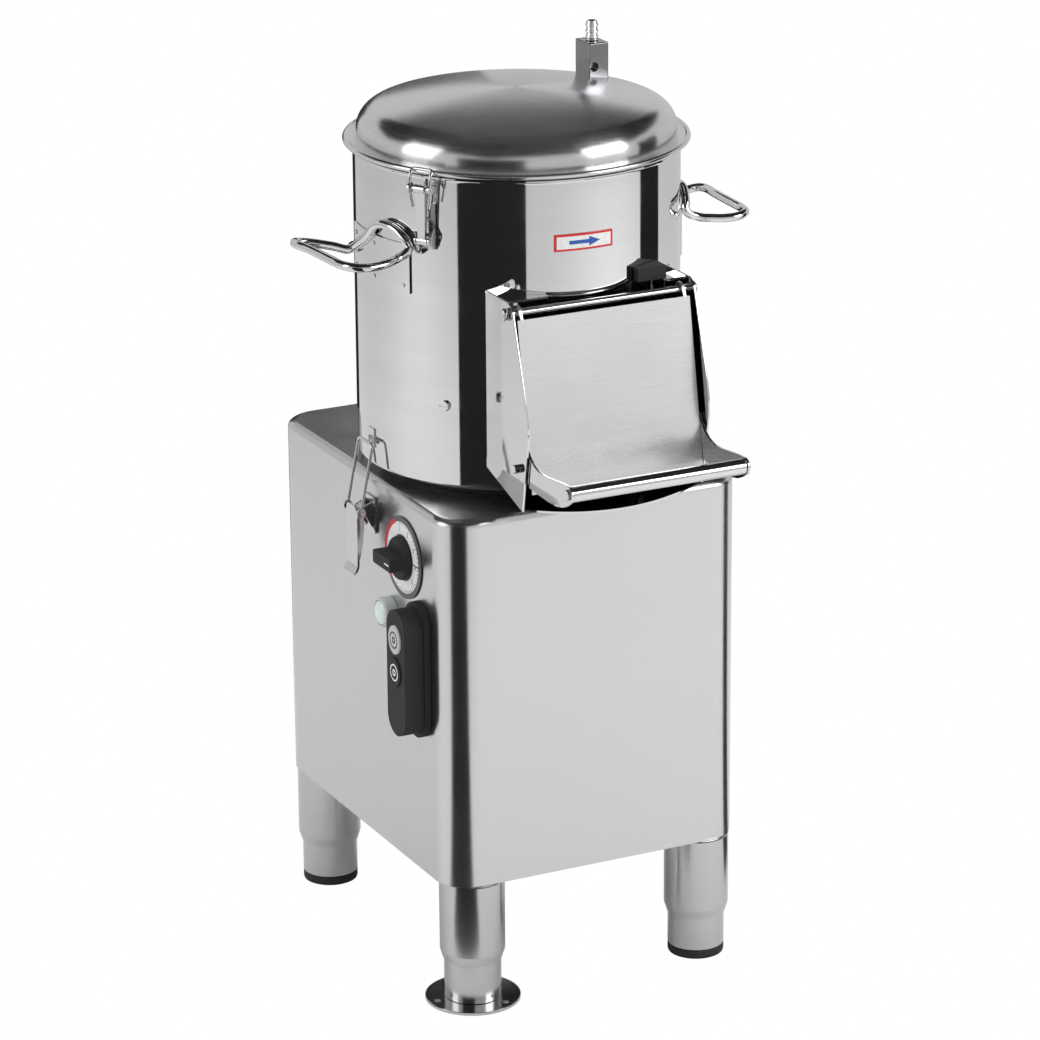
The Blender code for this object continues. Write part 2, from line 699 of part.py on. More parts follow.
def build_cabinet_shell():
    shell = place_mesh("cabinet_shell", cabinet_block("cabinet_shell", 0, CABINET_CLEARANCE,
            CABINET_TOP), BRUSHED)
    inside = cabinet_block("cabinet_inside", CABINET_SHEET, CABINET_CLEARANCE - CUT_OVERRUN,
                           CABINET_TOP - CABINET_SHEET)
    opening_width = COVER_WIDTH / 2 - COVER_LAP
    opening_height = COVER_HEIGHT / 2 - COVER_LAP
    middle = (0, (CABINET_CLEARANCE + CABINET_TOP) / 2)
    back = prism_mesh("back_opening", [rounded_rectangle(opening_width, opening_height, COVER_CORNER,
            middle)],
                      BACK_Y - CABINET_SHEET - CUT_OVERRUN, BACK_Y + CUT_OVERRUN, "Y")
    top = CABINET_TOP + CUT_OVERRUN
    under = CABINET_TOP - CABINET_SHEET - CUT_OVERRUN
    nose_hole = rod_mesh("nose_hole", NOSE_RADIUS + FIT_GAP, (0, DRUM_OFFSET_Y, under), (0,
            DRUM_OFFSET_Y, top),
                         ROUND_STEPS)
    pipe_foot = on_drum(DRAIN_PIPE_AZIMUTH, FLOOR_DRAIN_OFFSET, under)
    pipe_top = on_drum(DRAIN_PIPE_AZIMUTH, FLOOR_DRAIN_OFFSET, top)
    pipe_hole = rod_mesh("pipe_hole", DRAIN_PIPE_RADIUS + FIT_GAP, pipe_foot, pipe_top)
    spindle_hole = rod_mesh("spindle_hole", SPINDLE_RADIUS + FIT_GAP,
                            (-WALL_X - CUT_OVERRUN, DIAL_Y, DIAL_Z),
                            (-WALL_X + CABINET_SHEET + CUT_OVERRUN, DIAL_Y, DIAL_Z))
    cut(shell, *[helper(m) for m in (inside, back, nose_hole, pipe_hole, spindle_hole)])


def build_base_plate():
    gap = CABINET_SHEET + FIT_GAP
    hole = rounded_rectangle(BASE_OPENING / 2, BASE_OPENING / 2, BASE_OPENING_CORNER)
    mesh = prism_mesh("base_plate", [cabinet_outline(gap), hole],
                      CABINET_CLEARANCE, CABINET_CLEARANCE + BASE_PLATE_THICK)
    return place_mesh("base_frame", mesh, BRUSHED)


def cover_screw_places():
    inset_x = COVER_WIDTH / 2 - COVER_SCREW_INSET
    inset_z = COVER_HEIGHT / 2 - COVER_SCREW_INSET
    middle = (CABINET_CLEARANCE + CABINET_TOP) / 2
    return [(sx * inset_x, middle + sz * inset_z) for sx in (-1, 1) for sz in (-1, 0, 1)]


def vent_outline(centre):
    """A level slot with round ends, no corner twice."""
    radius = VENT_WIDTH / 2
    reach = VENT_LENGTH / 2 - radius
    right = arc((centre[0] + reach, centre[1]), radius, -90, 90, CORNER_STEPS)
    left = arc((centre[0] - reach, centre[1]), radius, 90, 270, CORNER_STEPS)
    return right + left


def build_back_cover():
    middle = (CABINET_CLEARANCE + CABINET_TOP) / 2
    outline = rounded_rectangle(COVER_WIDTH / 2, COVER_HEIGHT / 2, COVER_CORNER, (0, middle))
    slots = []
    for row in range(VENT_ROWS):
        for side in (-1, 1):
            z = middle + COVER_HEIGHT / 2 - VENT_DROP - row * VENT_PITCH
            slots.append(vent_outline((side * COVER_WIDTH / 4, z)))
    gland_hole = oval(GLAND_BORE + FIT_GAP, GLAND_BORE + FIT_GAP, (GLAND_X, GLAND_Z))
    low = BACK_Y + FIT_GAP
    mesh = prism_mesh("back_cover", [outline, gland_hole], low, low + COVER_THICK, "Y")
    cover = place_mesh("back_cover", mesh, BRUSHED)
    cutters = []
    for slot in slots:
        cutters.append(helper(prism_mesh("vent", [slot], low - CUT_OVERRUN, low + COVER_THICK + CUT_OVERRUN, "Y")))
    cut(cover, *cutters)
    head = low + COVER_THICK / 2
    for x, z in cover_screw_places():
        profile = [(0, COVER_SCREW_HEIGHT), (COVER_SCREW_RADIUS / 2, COVER_SCREW_HEIGHT),
                   (COVER_SCREW_RADIUS, COVER_SCREW_HEIGHT * 2 / 3), (COVER_SCREW_RADIUS, 0), (0, 0)]
        screw = turned_mesh("cover_screw", profile, SMALL_STEPS // 3)
        screw.transform(Matrix.Translation((x, head, z)) @ turn_matrix("Y"))
        join(cover, helper(screw))


def leg_places():
    return {
        "front_left": (-LEG_OFFSET_X, -LEG_OFFSET_Y),
        "front_right": (LEG_OFFSET_X, -LEG_OFFSET_Y),
        "back_left": (-LEG_OFFSET_X, LEG_OFFSET_Y),
        "back_right": (LEG_OFFSET_X, LEG_OFFSET_Y),
    }


def build_legs():
    top = CABINET_CLEARANCE - FIT_GAP
    bore = LEG_TUBE_RADIUS + FIT_GAP
    lip = LEG_SLEEVE_FOOT - LEG_SLEEVE_TAPER
    cap = top - LEG_SLEEVE_CAP
    weld_top = CABINET_CLEARANCE + BASE_PLATE_THICK / 2
    sleeve = [(0, weld_top), (LEG_WELD_RADIUS, weld_top), (LEG_WELD_RADIUS, top), (LEG_SLEEVE_RADIUS, top),
              (LEG_SLEEVE_RADIUS, LEG_SLEEVE_FOOT),
              (bore + LEG_SLEEVE_LIP, lip), (bore, lip), (bore, cap), (0, cap)]
    frame = build_base_plate()
    for place in leg_places().values():
        body = turned_mesh("leg_sleeve", sleeve, LEG_STEPS)
        join(frame, helper(shifted(body, (*place, 0))))
    for name, place in leg_places().items():
        flanged = name == "front_left"
        foot_top = FLANGE_FOOT_THICK if flanged else RUBBER_FOOT_HEIGHT
        bottom = foot_top + FIT_GAP
        head = cap - FIT_GAP
        tube = [(0, head), (LEG_TUBE_RADIUS, head), (LEG_TUBE_RADIUS, bottom), (0, bottom)]
        turned_node("leg_tube_" + name, tube, (*place, 0), BRUSHED, steps=LEG_STEPS)
        if flanged:
            build_flange_foot(place)
        else:
            build_rubber_foot(name, place)


def build_flange_foot(place):
    profile = [(0, FLANGE_FOOT_THICK), (FLANGE_FOOT_RADIUS, FLANGE_FOOT_THICK), (FLANGE_FOOT_RADIUS, 0),
            (0, 0)]
    foot = turned_node("flange_foot", profile, (*place, 0), BRUSHED, steps=SMALL_STEPS + CORNER_STEPS * 2)
    for i in range(FLANGE_HOLES):
        angle = 2 * math.pi * i / FLANGE_HOLES + math.pi
        x = place[0] + FLANGE_HOLE_CIRCLE * math.cos(angle)
        y = place[1] + FLANGE_HOLE_CIRCLE * math.sin(angle)
        hole = rod_mesh("foot_hole", FLANGE_HOLE_RADIUS, (x, y, -CUT_OVERRUN),
                        (x, y, FLANGE_FOOT_THICK + CUT_OVERRUN), SMALL_STEPS // 2)
        cut(foot, helper(hole))


def build_rubber_foot(name, place):
    radius = LEG_TUBE_RADIUS
    step = RUBBER_FOOT_ROUND
    profile = [(0, RUBBER_FOOT_HEIGHT), (radius, RUBBER_FOOT_HEIGHT), (radius, step), (radius - step,
            0), (0, 0)]
    turned_node("rubber_foot_" + name, profile, (*place, 0), RUBBER, steps=LEG_STEPS)


# Drive train inside the cabinet
def build_bearing_housing():
    flange_top = CABINET_TOP - CABINET_SHEET - FIT_GAP
    flange_bottom = flange_top - HOUSING_FLANGE_THICK
    bottom = flange_top - HOUSING_LENGTH
    nose_top = DISC_BOTTOM - DISC_HUB_HEIGHT - 2 * FIT_GAP
    seal = SHAFT_RADIUS + FIT_GAP
    bore_top = flange_top
    profile = [(NOSE_RADIUS, nose_top), (NOSE_RADIUS, flange_top), (HOUSING_FLANGE_RADIUS, flange_top),
               (HOUSING_FLANGE_RADIUS, flange_bottom), (HOUSING_TUBE_RADIUS, flange_bottom),
               (HOUSING_TUBE_RADIUS, bottom), (HOUSING_BORE, bottom), (HOUSING_BORE, bore_top),
               (seal, bore_top), (seal, nose_top)]
    turned_node("bearing_housing", profile, DRUM_CENTRE, CAST, steps=SMALL_STEPS * 2)
    outer = HOUSING_BORE - FIT_GAP
    inner = SHAFT_RADIUS + FIT_GAP
    spacer = inner + BEARING_SPACER_WALL
    top = bore_top - BEARING_INSET
    low = bottom + BEARING_INSET
    cartridge = [(outer, top), (outer, top - BEARING_THICK), (spacer, top - BEARING_THICK),
                 (spacer, low + BEARING_THICK), (outer, low + BEARING_THICK), (outer, low), (inner,
                         low), (inner, top)]
    turned_node("bearing_cartridge", cartridge, DRUM_CENTRE, PLATED, steps=SMALL_STEPS)


def pulley_profile(radius, bore, low):
    high = low + PULLEY_HEIGHT
    rim = radius + PULLEY_RIM_REACH
    return [(rim, high), (rim, high - PULLEY_FLANGE), (radius, high - PULLEY_FLANGE),
            (radius, low + PULLEY_FLANGE), (rim, low + PULLEY_FLANGE), (rim, low), (bore, low), (bore,
                    high)]


PULLEY_BOTTOM = SHAFT_BOTTOM + SHAFT_BOTTOM_TAIL


def build_drive():
    shaft_top = DISC_BOTTOM
    shaft = [(0, shaft_top), (SHAFT_RADIUS, shaft_top), (SHAFT_RADIUS, SHAFT_BOTTOM), (0, SHAFT_BOTTOM)]
    turned_node("drive_shaft", shaft, DRUM_CENTRE, PLATED, steps=SMALL_STEPS)
    turned_node("shaft_pulley", pulley_profile(BIG_PULLEY_RADIUS, SHAFT_RADIUS + FIT_GAP, PULLEY_BOTTOM),
                DRUM_CENTRE, CAST, steps=SMALL_STEPS * 2)
    motor_axis = (0, MOTOR_Y, 0)
    plate_top = PULLEY_BOTTOM - MOTOR_PLATE_DROP + MOTOR_PLATE_THICK
    motor_top = plate_top - MOTOR_PLATE_THICK - FIT_GAP
    spindle_bottom = motor_top + FIT_GAP
    small = pulley_profile(SMALL_PULLEY_RADIUS, MOTOR_SHAFT_RADIUS, PULLEY_BOTTOM)
    small = [(0, small[0][1])] + small[:-1] + [(MOTOR_SHAFT_RADIUS, spindle_bottom), (0, spindle_bottom)]
    turned_node("motor_pulley", small, motor_axis, CAST, steps=SMALL_STEPS)
    motor_bottom = motor_top - MOTOR_HEIGHT
    motor = [(0, motor_top), (MOTOR_RADIUS - MOTOR_ROUND, motor_top), (MOTOR_RADIUS,
            motor_top - MOTOR_ROUND),
             (MOTOR_RADIUS, motor_bottom + MOTOR_ROUND), (MOTOR_RADIUS - MOTOR_ROUND, motor_bottom),
             (0, motor_bottom)]
    turned_node("motor", motor, motor_axis, MOTOR_PAINT, steps=LEG_STEPS)
    build_motor_plate(plate_top)
    build_belt()


def build_motor_plate(top):
    half = CABINET_WIDTH / 2 - CABINET_SHEET - FIT_GAP
    bottom = top - MOTOR_PLATE_THICK
    outline = [(-half, bottom - MOTOR_PLATE_FLANGE), (-half, top), (half, top), (half,
            bottom - MOTOR_PLATE_FLANGE),
               (half - MOTOR_PLATE_THICK, bottom - MOTOR_PLATE_FLANGE), (half - MOTOR_PLATE_THICK, bottom),
               (-half + MOTOR_PLATE_THICK, bottom), (-half + MOTOR_PLATE_THICK,
                       bottom - MOTOR_PLATE_FLANGE)]
    mesh = prism_mesh("motor_plate", [outline], MOTOR_Y - MOTOR_PLATE_DEPTH / 2,
            MOTOR_Y + MOTOR_PLATE_DEPTH / 2, "Y")
    plate = place_mesh("motor_plate", mesh, SATIN)
    hole = rod_mesh("motor_hole", MOTOR_PLATE_HOLE, (0, MOTOR_Y, bottom - CUT_OVERRUN),
                    (0, MOTOR_Y, top + CUT_OVERRUN))
    cut(plate, helper(hole))


def belt_outline(big, small):
    """Two arcs joined by their outer tangents, round the shaft's and the motor's axes."""
    lean = math.degrees(math.asin((big - small) / MOTOR_SPACING))
    motor = arc((0, MOTOR_Y), small, lean, 180 - lean, SMALL_STEPS // 2)
    shaft = arc((0, DRUM_OFFSET_Y), big, 180 - lean, 360 + lean, SMALL_STEPS)
    return motor + shaft


def build_belt():
    inner = belt_outline(BIG_PULLEY_RADIUS + FIT_GAP, SMALL_PULLEY_RADIUS + FIT_GAP)
    outer = belt_outline(BIG_PULLEY_RADIUS + FIT_GAP + BELT_THICK,
            SMALL_PULLEY_RADIUS + FIT_GAP + BELT_THICK)
    low = PULLEY_BOTTOM + PULLEY_FLANGE + FIT_GAP
    high = PULLEY_BOTTOM + PULLEY_HEIGHT - PULLEY_FLANGE - FIT_GAP
    place_mesh("drive_belt", prism_mesh("drive_belt", [outer, inner], low, high), RUBBER)


def build_drain_pipe():
    top = DRUM_BOTTOM - FIT_GAP
    inner = DRAIN_PIPE_RADIUS - DRAIN_PIPE_WALL
    profile = [(DRAIN_PIPE_RADIUS, top), (DRAIN_PIPE_RADIUS, DRAIN_PIPE_END), (inner, DRAIN_PIPE_END),
            (inner, top)]
    turned_node("drain_pipe", profile, on_drum(DRAIN_PIPE_AZIMUTH, FLOOR_DRAIN_OFFSET, 0), SATIN,
            steps=SMALL_STEPS)


def build_seat_ring():
    outer = DRUM_RADIUS - SEAT_RING_INSET
    low = CABINET_TOP + FIT_GAP
    high = DRUM_BOTTOM - FIT_GAP
    inner = outer - SEAT_RING_WIDTH
    turned_node("drum_seat_ring", [(outer, high), (outer, low), (inner, low), (inner, high)],
            DRUM_CENTRE, RUBBER)


# Drum
def window_cutter(name, radius):
    low = DRUM_BOTTOM + WINDOW_BOTTOM_LIFT
    high = low + WINDOW_HEIGHT
    front = DRUM_OFFSET_Y - DRUM_RADIUS - CUT_OVERRUN
    return helper(box_mesh(name, (-WINDOW_HALF_WIDTH, front, low), (WINDOW_HALF_WIDTH, front + radius,
            high)))


def build_drum_shell():
    rim = DRUM_RADIUS + DRUM_RIM_REACH
    inner = DRUM_RADIUS - DRUM_SHEET
    floor = DRUM_BOTTOM + DRUM_SHEET
    hole = NOSE_RADIUS + 2 * FIT_GAP
    collar = hole + FLOOR_COLLAR_WALL
    collar_top = floor + FLOOR_COLLAR_HEIGHT
    profile = [(rim, DRUM_TOP), (rim, DRUM_TOP - DRUM_RIM_THICK), (DRUM_RADIUS, DRUM_TOP - DRUM_RIM_THICK),
               (DRUM_RADIUS, DRUM_BOTTOM + DRUM_FOOT_ROUND), (DRUM_RADIUS - DRUM_FOOT_ROUND, DRUM_BOTTOM),
               (hole, DRUM_BOTTOM), (hole, collar_top), (collar, collar_top), (collar, floor),
               (inner - DRUM_FOOT_ROUND, floor), (inner, floor + DRUM_FOOT_ROUND), (inner, DRUM_TOP)]
    shell = turned_node("drum_shell", profile, DRUM_CENTRE, POLISHED, steps=ROUND_STEPS + SMALL_STEPS // 3)
    drain = rod_mesh("drum_drain_hole", FLOOR_DRAIN_RADIUS,
                     on_drum(DRAIN_PIPE_AZIMUTH, FLOOR_DRAIN_OFFSET, DRUM_BOTTOM - CUT_OVERRUN),
                     on_drum(DRAIN_PIPE_AZIMUTH, FLOOR_DRAIN_OFFSET, floor + CUT_OVERRUN))
    cut(shell, window_cutter("drum_window", DRUM_RADIUS / 2), helper(drain))
    join(shell, helper(drain_screw_mesh()))
    for azimuth in (-90, 90):
        join(shell, helper(drum_catch(drum_latch_frame(azimuth))))


def build_liner():
    outer = DRUM_RADIUS - DRUM_SHEET - FIT_GAP
    inner = outer - LINER_THICK
    low = DRUM_BOTTOM + LINER_BOTTOM_LIFT
    high = low + LINER_HEIGHT
    liner = turned_node("abrasive_liner", [(outer, high), (outer, low), (inner, low), (inner, high)],
                        DRUM_CENTRE, GRIT)
    cut(liner, window_cutter("liner_window", DRUM_RADIUS / 2))


def drain_screw_mesh():
    sunk = -DRUM_SHEET / 2
    profile = [(0, DRAIN_SCREW_HEIGHT), (DRAIN_SCREW_RADIUS / 2, DRAIN_SCREW_HEIGHT),
               (DRAIN_SCREW_RADIUS, DRAIN_SCREW_HEIGHT / 2), (DRAIN_SCREW_RADIUS, sunk), (0, sunk)]
    mesh = turned_mesh("drum_screw", profile, SMALL_STEPS // 2)
    centre = DRUM_CENTRE + Vector((0, 0, DRUM_BOTTOM + DRAIN_SCREW_LIFT))
    mesh.transform(wall_frame(DRAIN_SCREW_AZIMUTH, centre, DRUM_RADIUS) @ turn_matrix("X"))
    return mesh


def build_label():
    outline = drum_arc(DRUM_RADIUS + FIT_GAP + LABEL_THICK, LABEL_START, LABEL_END)
    outline += drum_arc(DRUM_RADIUS + FIT_GAP, LABEL_END, LABEL_START)
    low = DRUM_BOTTOM + LABEL_LIFT
    place_mesh("direction_label", prism_mesh("direction_label", [outline], low, low + LABEL_HEIGHT),
            RED_PRINT)


def handle_points(side):
    """A closed loop: its outer part is held in the hand, its inner part lies on the riveted plate."""
    stand = DRUM_RADIUS + FIT_GAP + HANDLE_PLATE_THICK + HANDLE_ROD_RADIUS - HANDLE_WELD
    top = DRUM_BOTTOM + HANDLE_PLATE_TOP_LIFT
    inner = []
    for azimuth, drop in zip(HANDLE_INNER_AZIMUTHS, HANDLE_INNER_DROP):
        inner.append(on_drum(side * azimuth, stand, top - HANDLE_PLATE_DROP * drop))
    outer = []
    for reach, span, drop in zip(HANDLE_OUTER_REACH, HANDLE_OUTER_SPAN, HANDLE_OUTER_DROP):
        x = side * (DRUM_RADIUS + HANDLE_REACH * reach)
        y = DRUM_OFFSET_Y + HANDLE_SPAN * span
        outer.append(Vector((x, y, top - HANDLE_PLATE_DROP * drop)))
    return inner + outer


def build_handles():
    for name, side in (("left", -1), ("right", 1)):
        handle = place_mesh("handle_" + name, wire_mesh("handle", handle_points(side),
                HANDLE_ROD_RADIUS, True), POLISHED)
        join(handle, helper(handle_plate_mesh(side)))


def handle_plate_mesh(side):
    inner = DRUM_RADIUS + FIT_GAP
    outer = inner + HANDLE_PLATE_THICK
    azimuth = side * HANDLE_PLATE_AZIMUTH
    start = azimuth - HANDLE_PLATE_HALF_ANGLE
    end = azimuth + HANDLE_PLATE_HALF_ANGLE
    outline = drum_arc(outer, start, end, 2 * ARC_STEPS) + drum_arc(inner, end, start, 2 * ARC_STEPS)
    top = DRUM_BOTTOM + HANDLE_PLATE_TOP_LIFT
    plate = helper(prism_mesh("plate", [outline], top - HANDLE_PLATE_DROP, top))
    for column_share in RIVET_COLUMN_SHARES:
        for row_share in RIVET_ROW_SHARES:
            angle = azimuth + HANDLE_PLATE_HALF_ANGLE * column_share
            height = top - HANDLE_PLATE_DROP * row_share
            near = on_drum(angle, outer - HANDLE_PLATE_THICK / 2, height)
            rivet = rod_mesh("rivet", RIVET_RADIUS, near, on_drum(angle, outer + RIVET_HEIGHT, height),
                    SMALL_STEPS // 3)
            join(plate, helper(rivet))
    return evaluated_mesh(plate)


# Chute
CHUTE_BACK_Y = drum_y(CHUTE_HALF_WIDTH)


def cheek_outline():
    """The cheek from the side, as (y, z): it starts on the drum, low, and goes round by the front."""
    back = CHUTE_BACK_Y - FIT_GAP
    points = [
        (back, DRUM_BOTTOM + CHUTE_FLOOR_BACK_LIFT),
        (back - CHUTE_TIP_REACH, DRUM_BOTTOM + CHUTE_FLOOR_TIP_LIFT),
        (back - CHUTE_KNEE_REACH, DRUM_BOTTOM + CHUTE_KNEE_LIFT),
        (back - CHUTE_MID_REACH, DRUM_BOTTOM + CHUTE_MID_LIFT),
        (back - CHUTE_BROW_REACH, DRUM_BOTTOM + CHUTE_BROW_LIFT),
        (back - CHUTE_TOP_REACH, DRUM_BOTTOM + CHUTE_TOP_LIFT),
        (back, DRUM_BOTTOM + CHUTE_TOP_LIFT),
    ]
    return points


def floor_height(y):
    """The chute floor falls evenly from the drum to the cheeks' tips."""
    back = CHUTE_BACK_Y - FIT_GAP
    fall = (CHUTE_FLOOR_BACK_LIFT - CHUTE_FLOOR_TIP_LIFT) / CHUTE_TIP_REACH
    return DRUM_BOTTOM + CHUTE_FLOOR_BACK_LIFT - (back - y) * fall


def build_chute():
    inner = CHUTE_HALF_WIDTH - CHUTE_SHEET
    inner_azimuth = math.degrees(math.asin(inner / (DRUM_RADIUS + FIT_GAP)))
    lip_azimuth = math.degrees(math.asin(inner / CHUTE_LIP_RADIUS))
    overlap = CHUTE_SHEET / 2
    wide = math.degrees(math.asin((inner + overlap) / CHUTE_LIP_RADIUS))
    narrow = math.degrees(math.asin((inner + overlap) / (DRUM_RADIUS + FIT_GAP)))
    outline = drum_arc(CHUTE_LIP_RADIUS, -wide, wide, 2 * ARC_STEPS)
    outline += drum_arc(DRUM_RADIUS + FIT_GAP, narrow, -narrow, 2 * ARC_STEPS)
    floor = prism_mesh("chute_floor", [outline], overlap - CHUTE_SHEET, overlap)
    for vertex in floor.vertices:
        vertex.co.z += floor_height(vertex.co.y)
    chute = place_mesh("chute", floor, SATIN)
    flange_angle = math.degrees(CHUTE_FLANGE_WIDTH / DRUM_RADIUS)
    flange_low = DRUM_BOTTOM + CHUTE_FLOOR_BACK_LIFT + CHUTE_FLANGE_MARGIN
    flange_high = DRUM_BOTTOM + CHUTE_TOP_LIFT - CHUTE_SHEET
    hinge_hole = HINGE_ROD_RADIUS + FIT_GAP
    for sign in (-1, 1):
        x_low = min(sign * inner, sign * CHUTE_HALF_WIDTH)
        cheek = prism_mesh("cheek", [cheek_outline()], x_low, x_low + CHUTE_SHEET, "X")
        band = drum_arc(DRUM_RADIUS + FIT_GAP, sign * inner_azimuth, sign * (inner_azimuth + flange_angle))
        band += drum_arc(DRUM_RADIUS + FIT_GAP + CHUTE_SHEET, sign * (inner_azimuth + flange_angle),
                         sign * inner_azimuth)
        flange = prism_mesh("cheek_flange", [band], flange_low, flange_high)
        reach = math.sqrt((DRUM_RADIUS + FIT_GAP) ** 2 - (inner + overlap) ** 2)
        gusset_front = DRUM_OFFSET_Y - (DRUM_RADIUS + FIT_GAP) + FIT_GAP
        corner_x = math.sqrt((DRUM_RADIUS + FIT_GAP) ** 2 - (gusset_front - DRUM_OFFSET_Y) ** 2)
        near = math.degrees(math.asin(corner_x / (DRUM_RADIUS + FIT_GAP)))
        gusset = [(sign * (inner + overlap), gusset_front), (sign * (inner + overlap),
                DRUM_OFFSET_Y - reach)]
        gusset += drum_arc(DRUM_RADIUS + FIT_GAP, sign * narrow, sign * near)[1:]
        gusset_top = DRUM_BOTTOM + CHUTE_TOP_LIFT - CHUTE_GUSSET_DROP
        corner = prism_mesh("corner_plate", [gusset], gusset_top - CHUTE_SHEET, gusset_top)
        join(chute, helper(cheek), helper(flange), helper(corner))
    drum = DRUM_RADIUS + FIT_GAP
    clearance = rod_mesh("drum_clearance", drum / math.cos(math.pi / ROUND_STEPS / 2), DRUM_CENTRE,
                         DRUM_CENTRE + Vector((0, 0, DRUM_TOP)), 2 * ROUND_STEPS)
    cut(chute, helper(clearance))
    outside = CHUTE_HALF_WIDTH + CUT_OVERRUN
    hole = rod_mesh("hinge_hole", hinge_hole, (-outside, HINGE_Y, HINGE_Z), (outside, HINGE_Y, HINGE_Z))
    cut(chute, helper(hole))
    y = CHUTE_BACK_Y - CHEEK_STUD_REACH
    z = DRUM_BOTTOM + CHEEK_STUD_LIFT
    for sign in (-1, 1):
        near = sign * (CHUTE_HALF_WIDTH - CHUTE_SHEET / 2)
        stud = rod_mesh("cheek_stud", CHEEK_STUD_RADIUS, (near, y, z),
                        (near + sign * CHEEK_STUD_HEIGHT, y, z), CORNER_STEPS)
        join(chute, helper(stud))


def build_hinge_rod():
    end = CHUTE_HALF_WIDTH + FIT_GAP + HINGE_NUT_THICK
    face = CHUTE_HALF_WIDTH + FIT_GAP
    profile = [(0, end), (HINGE_NUT_RADIUS, end), (HINGE_NUT_RADIUS, face), (HINGE_ROD_RADIUS, face),
               (HINGE_ROD_RADIUS, -face), (HINGE_NUT_RADIUS, -face), (HINGE_NUT_RADIUS, -end), (0, -end)]
    turned_node("hinge_rod", profile, (0, HINGE_Y, HINGE_Z), POLISHED, "X", SMALL_STEPS // 2)


def build_sensor():
    low = DRUM_BOTTOM + CHUTE_TOP_LIFT - CHUTE_GUSSET_DROP + FIT_GAP
    right = SENSOR_LEFT + SENSOR_WIDTH
    front = HINGE_Y + SENSOR_SETBACK
    steps = ARC_STEPS
    back = []
    for i in range(steps + 1):
        x = right + (SENSOR_LEFT - right) * i / steps
        back.append((x, drum_y(x)))
    outline = [(SENSOR_LEFT, front), (right, front)] + back
    sensor = place_mesh("door_sensor", prism_mesh("door_sensor", [outline], low, low + SENSOR_HEIGHT),
            BLACK_PLASTIC)
    bevel = sensor.modifiers.new("edges", "BEVEL")
    bevel.width = SENSOR_ROUND / 4
    bevel.segments = 1


# Door
DOOR_HALF_WIDTH = CHUTE_HALF_WIDTH - CHUTE_SHEET - DOOR_SIDE_GAP - DOOR_ARM_THICK - FIT_GAP
DOOR_PIVOT = (0, HINGE_Y, HINGE_Z)


def door_face(drop):
    """Where the door's outer face lies at a distance below the hinge."""
    share = (drop - DOOR_TOP_DROP) / (DOOR_BOTTOM_DROP - DOOR_TOP_DROP)
    return HINGE_Y - (DOOR_TOP_REACH + (DOOR_BOTTOM_REACH - DOOR_TOP_REACH) * share)


def build_door_panel():
    face = [(door_face(DOOR_TOP_DROP), HINGE_Z - DOOR_TOP_DROP),
            (door_face(DOOR_BOTTOM_DROP), HINGE_Z - DOOR_BOTTOM_DROP),
            (door_face(DOOR_BOTTOM_DROP) + DOOR_THICK, HINGE_Z - DOOR_BOTTOM_DROP),
            (door_face(DOOR_TOP_DROP) + DOOR_THICK, HINGE_Z - DOOR_TOP_DROP)]
    mesh = prism_mesh("door_panel", [face], -DOOR_HALF_WIDTH, DOOR_HALF_WIDTH, "X")
    panel = place_mesh("door_panel", mesh, SATIN, DOOR_PIVOT)
    for sign in (-1, 1):
        x_low = min(sign * (DOOR_HALF_WIDTH - DOOR_EAR_INSET), sign * (DOOR_HALF_WIDTH - DOOR_EAR_INSET
                                                                        - DOOR_EAR_THICK))
        front = door_face(DOOR_EAR_RADIUS) + DOOR_THICK / 2
        outline = arc((HINGE_Y, HINGE_Z), DOOR_EAR_RADIUS, 90, -90, 2 * ARC_STEPS)
        outline += [(front, HINGE_Z - DOOR_EAR_RADIUS),
                    (door_face(DOOR_TOP_DROP) + DOOR_THICK / 2, HINGE_Z - DOOR_TOP_DROP)]
        ear = prism_mesh("door_ear", [outline], x_low, x_low + DOOR_EAR_THICK, "X")
        join(panel, helper(ear))
    reach = DOOR_HALF_WIDTH + CUT_OVERRUN
    bore = rod_mesh("ear_bore", HINGE_ROD_RADIUS + FIT_GAP, (-reach, HINGE_Y, HINGE_Z), (reach, HINGE_Y,
            HINGE_Z))
    cut(panel, helper(bore))


def arm_outline():
    """The arm from the side, as (y, z): welded to the door's edge, tapering to a round nose at the bar."""
    root_top = (door_face(ARM_ROOT_TOP_DROP) + DOOR_THICK, HINGE_Z - ARM_ROOT_TOP_DROP)
    root_bottom = (door_face(ARM_ROOT_BOTTOM_DROP) + DOOR_THICK, HINGE_Z - ARM_ROOT_BOTTOM_DROP)
    nose = arc((BAR_Y, BAR_Z), ARM_NOSE_RADIUS, 75, 250, 2 * ARC_STEPS)
    hollow = []
    start = root_top
    end = nose[0]
    for i in range(1, ARC_STEPS):
        share = i / ARC_STEPS
        y = start[0] + (end[0] - start[0]) * share
        z = start[1] + (end[1] - start[1]) * (1 - (1 - share) ** 2)
        hollow.append((y, z))
    belly = (HINGE_Y - ARM_BELLY_REACH, HINGE_Z - ARM_BELLY_DROP)
    return [root_top] + hollow + nose + [belly, root_bottom]


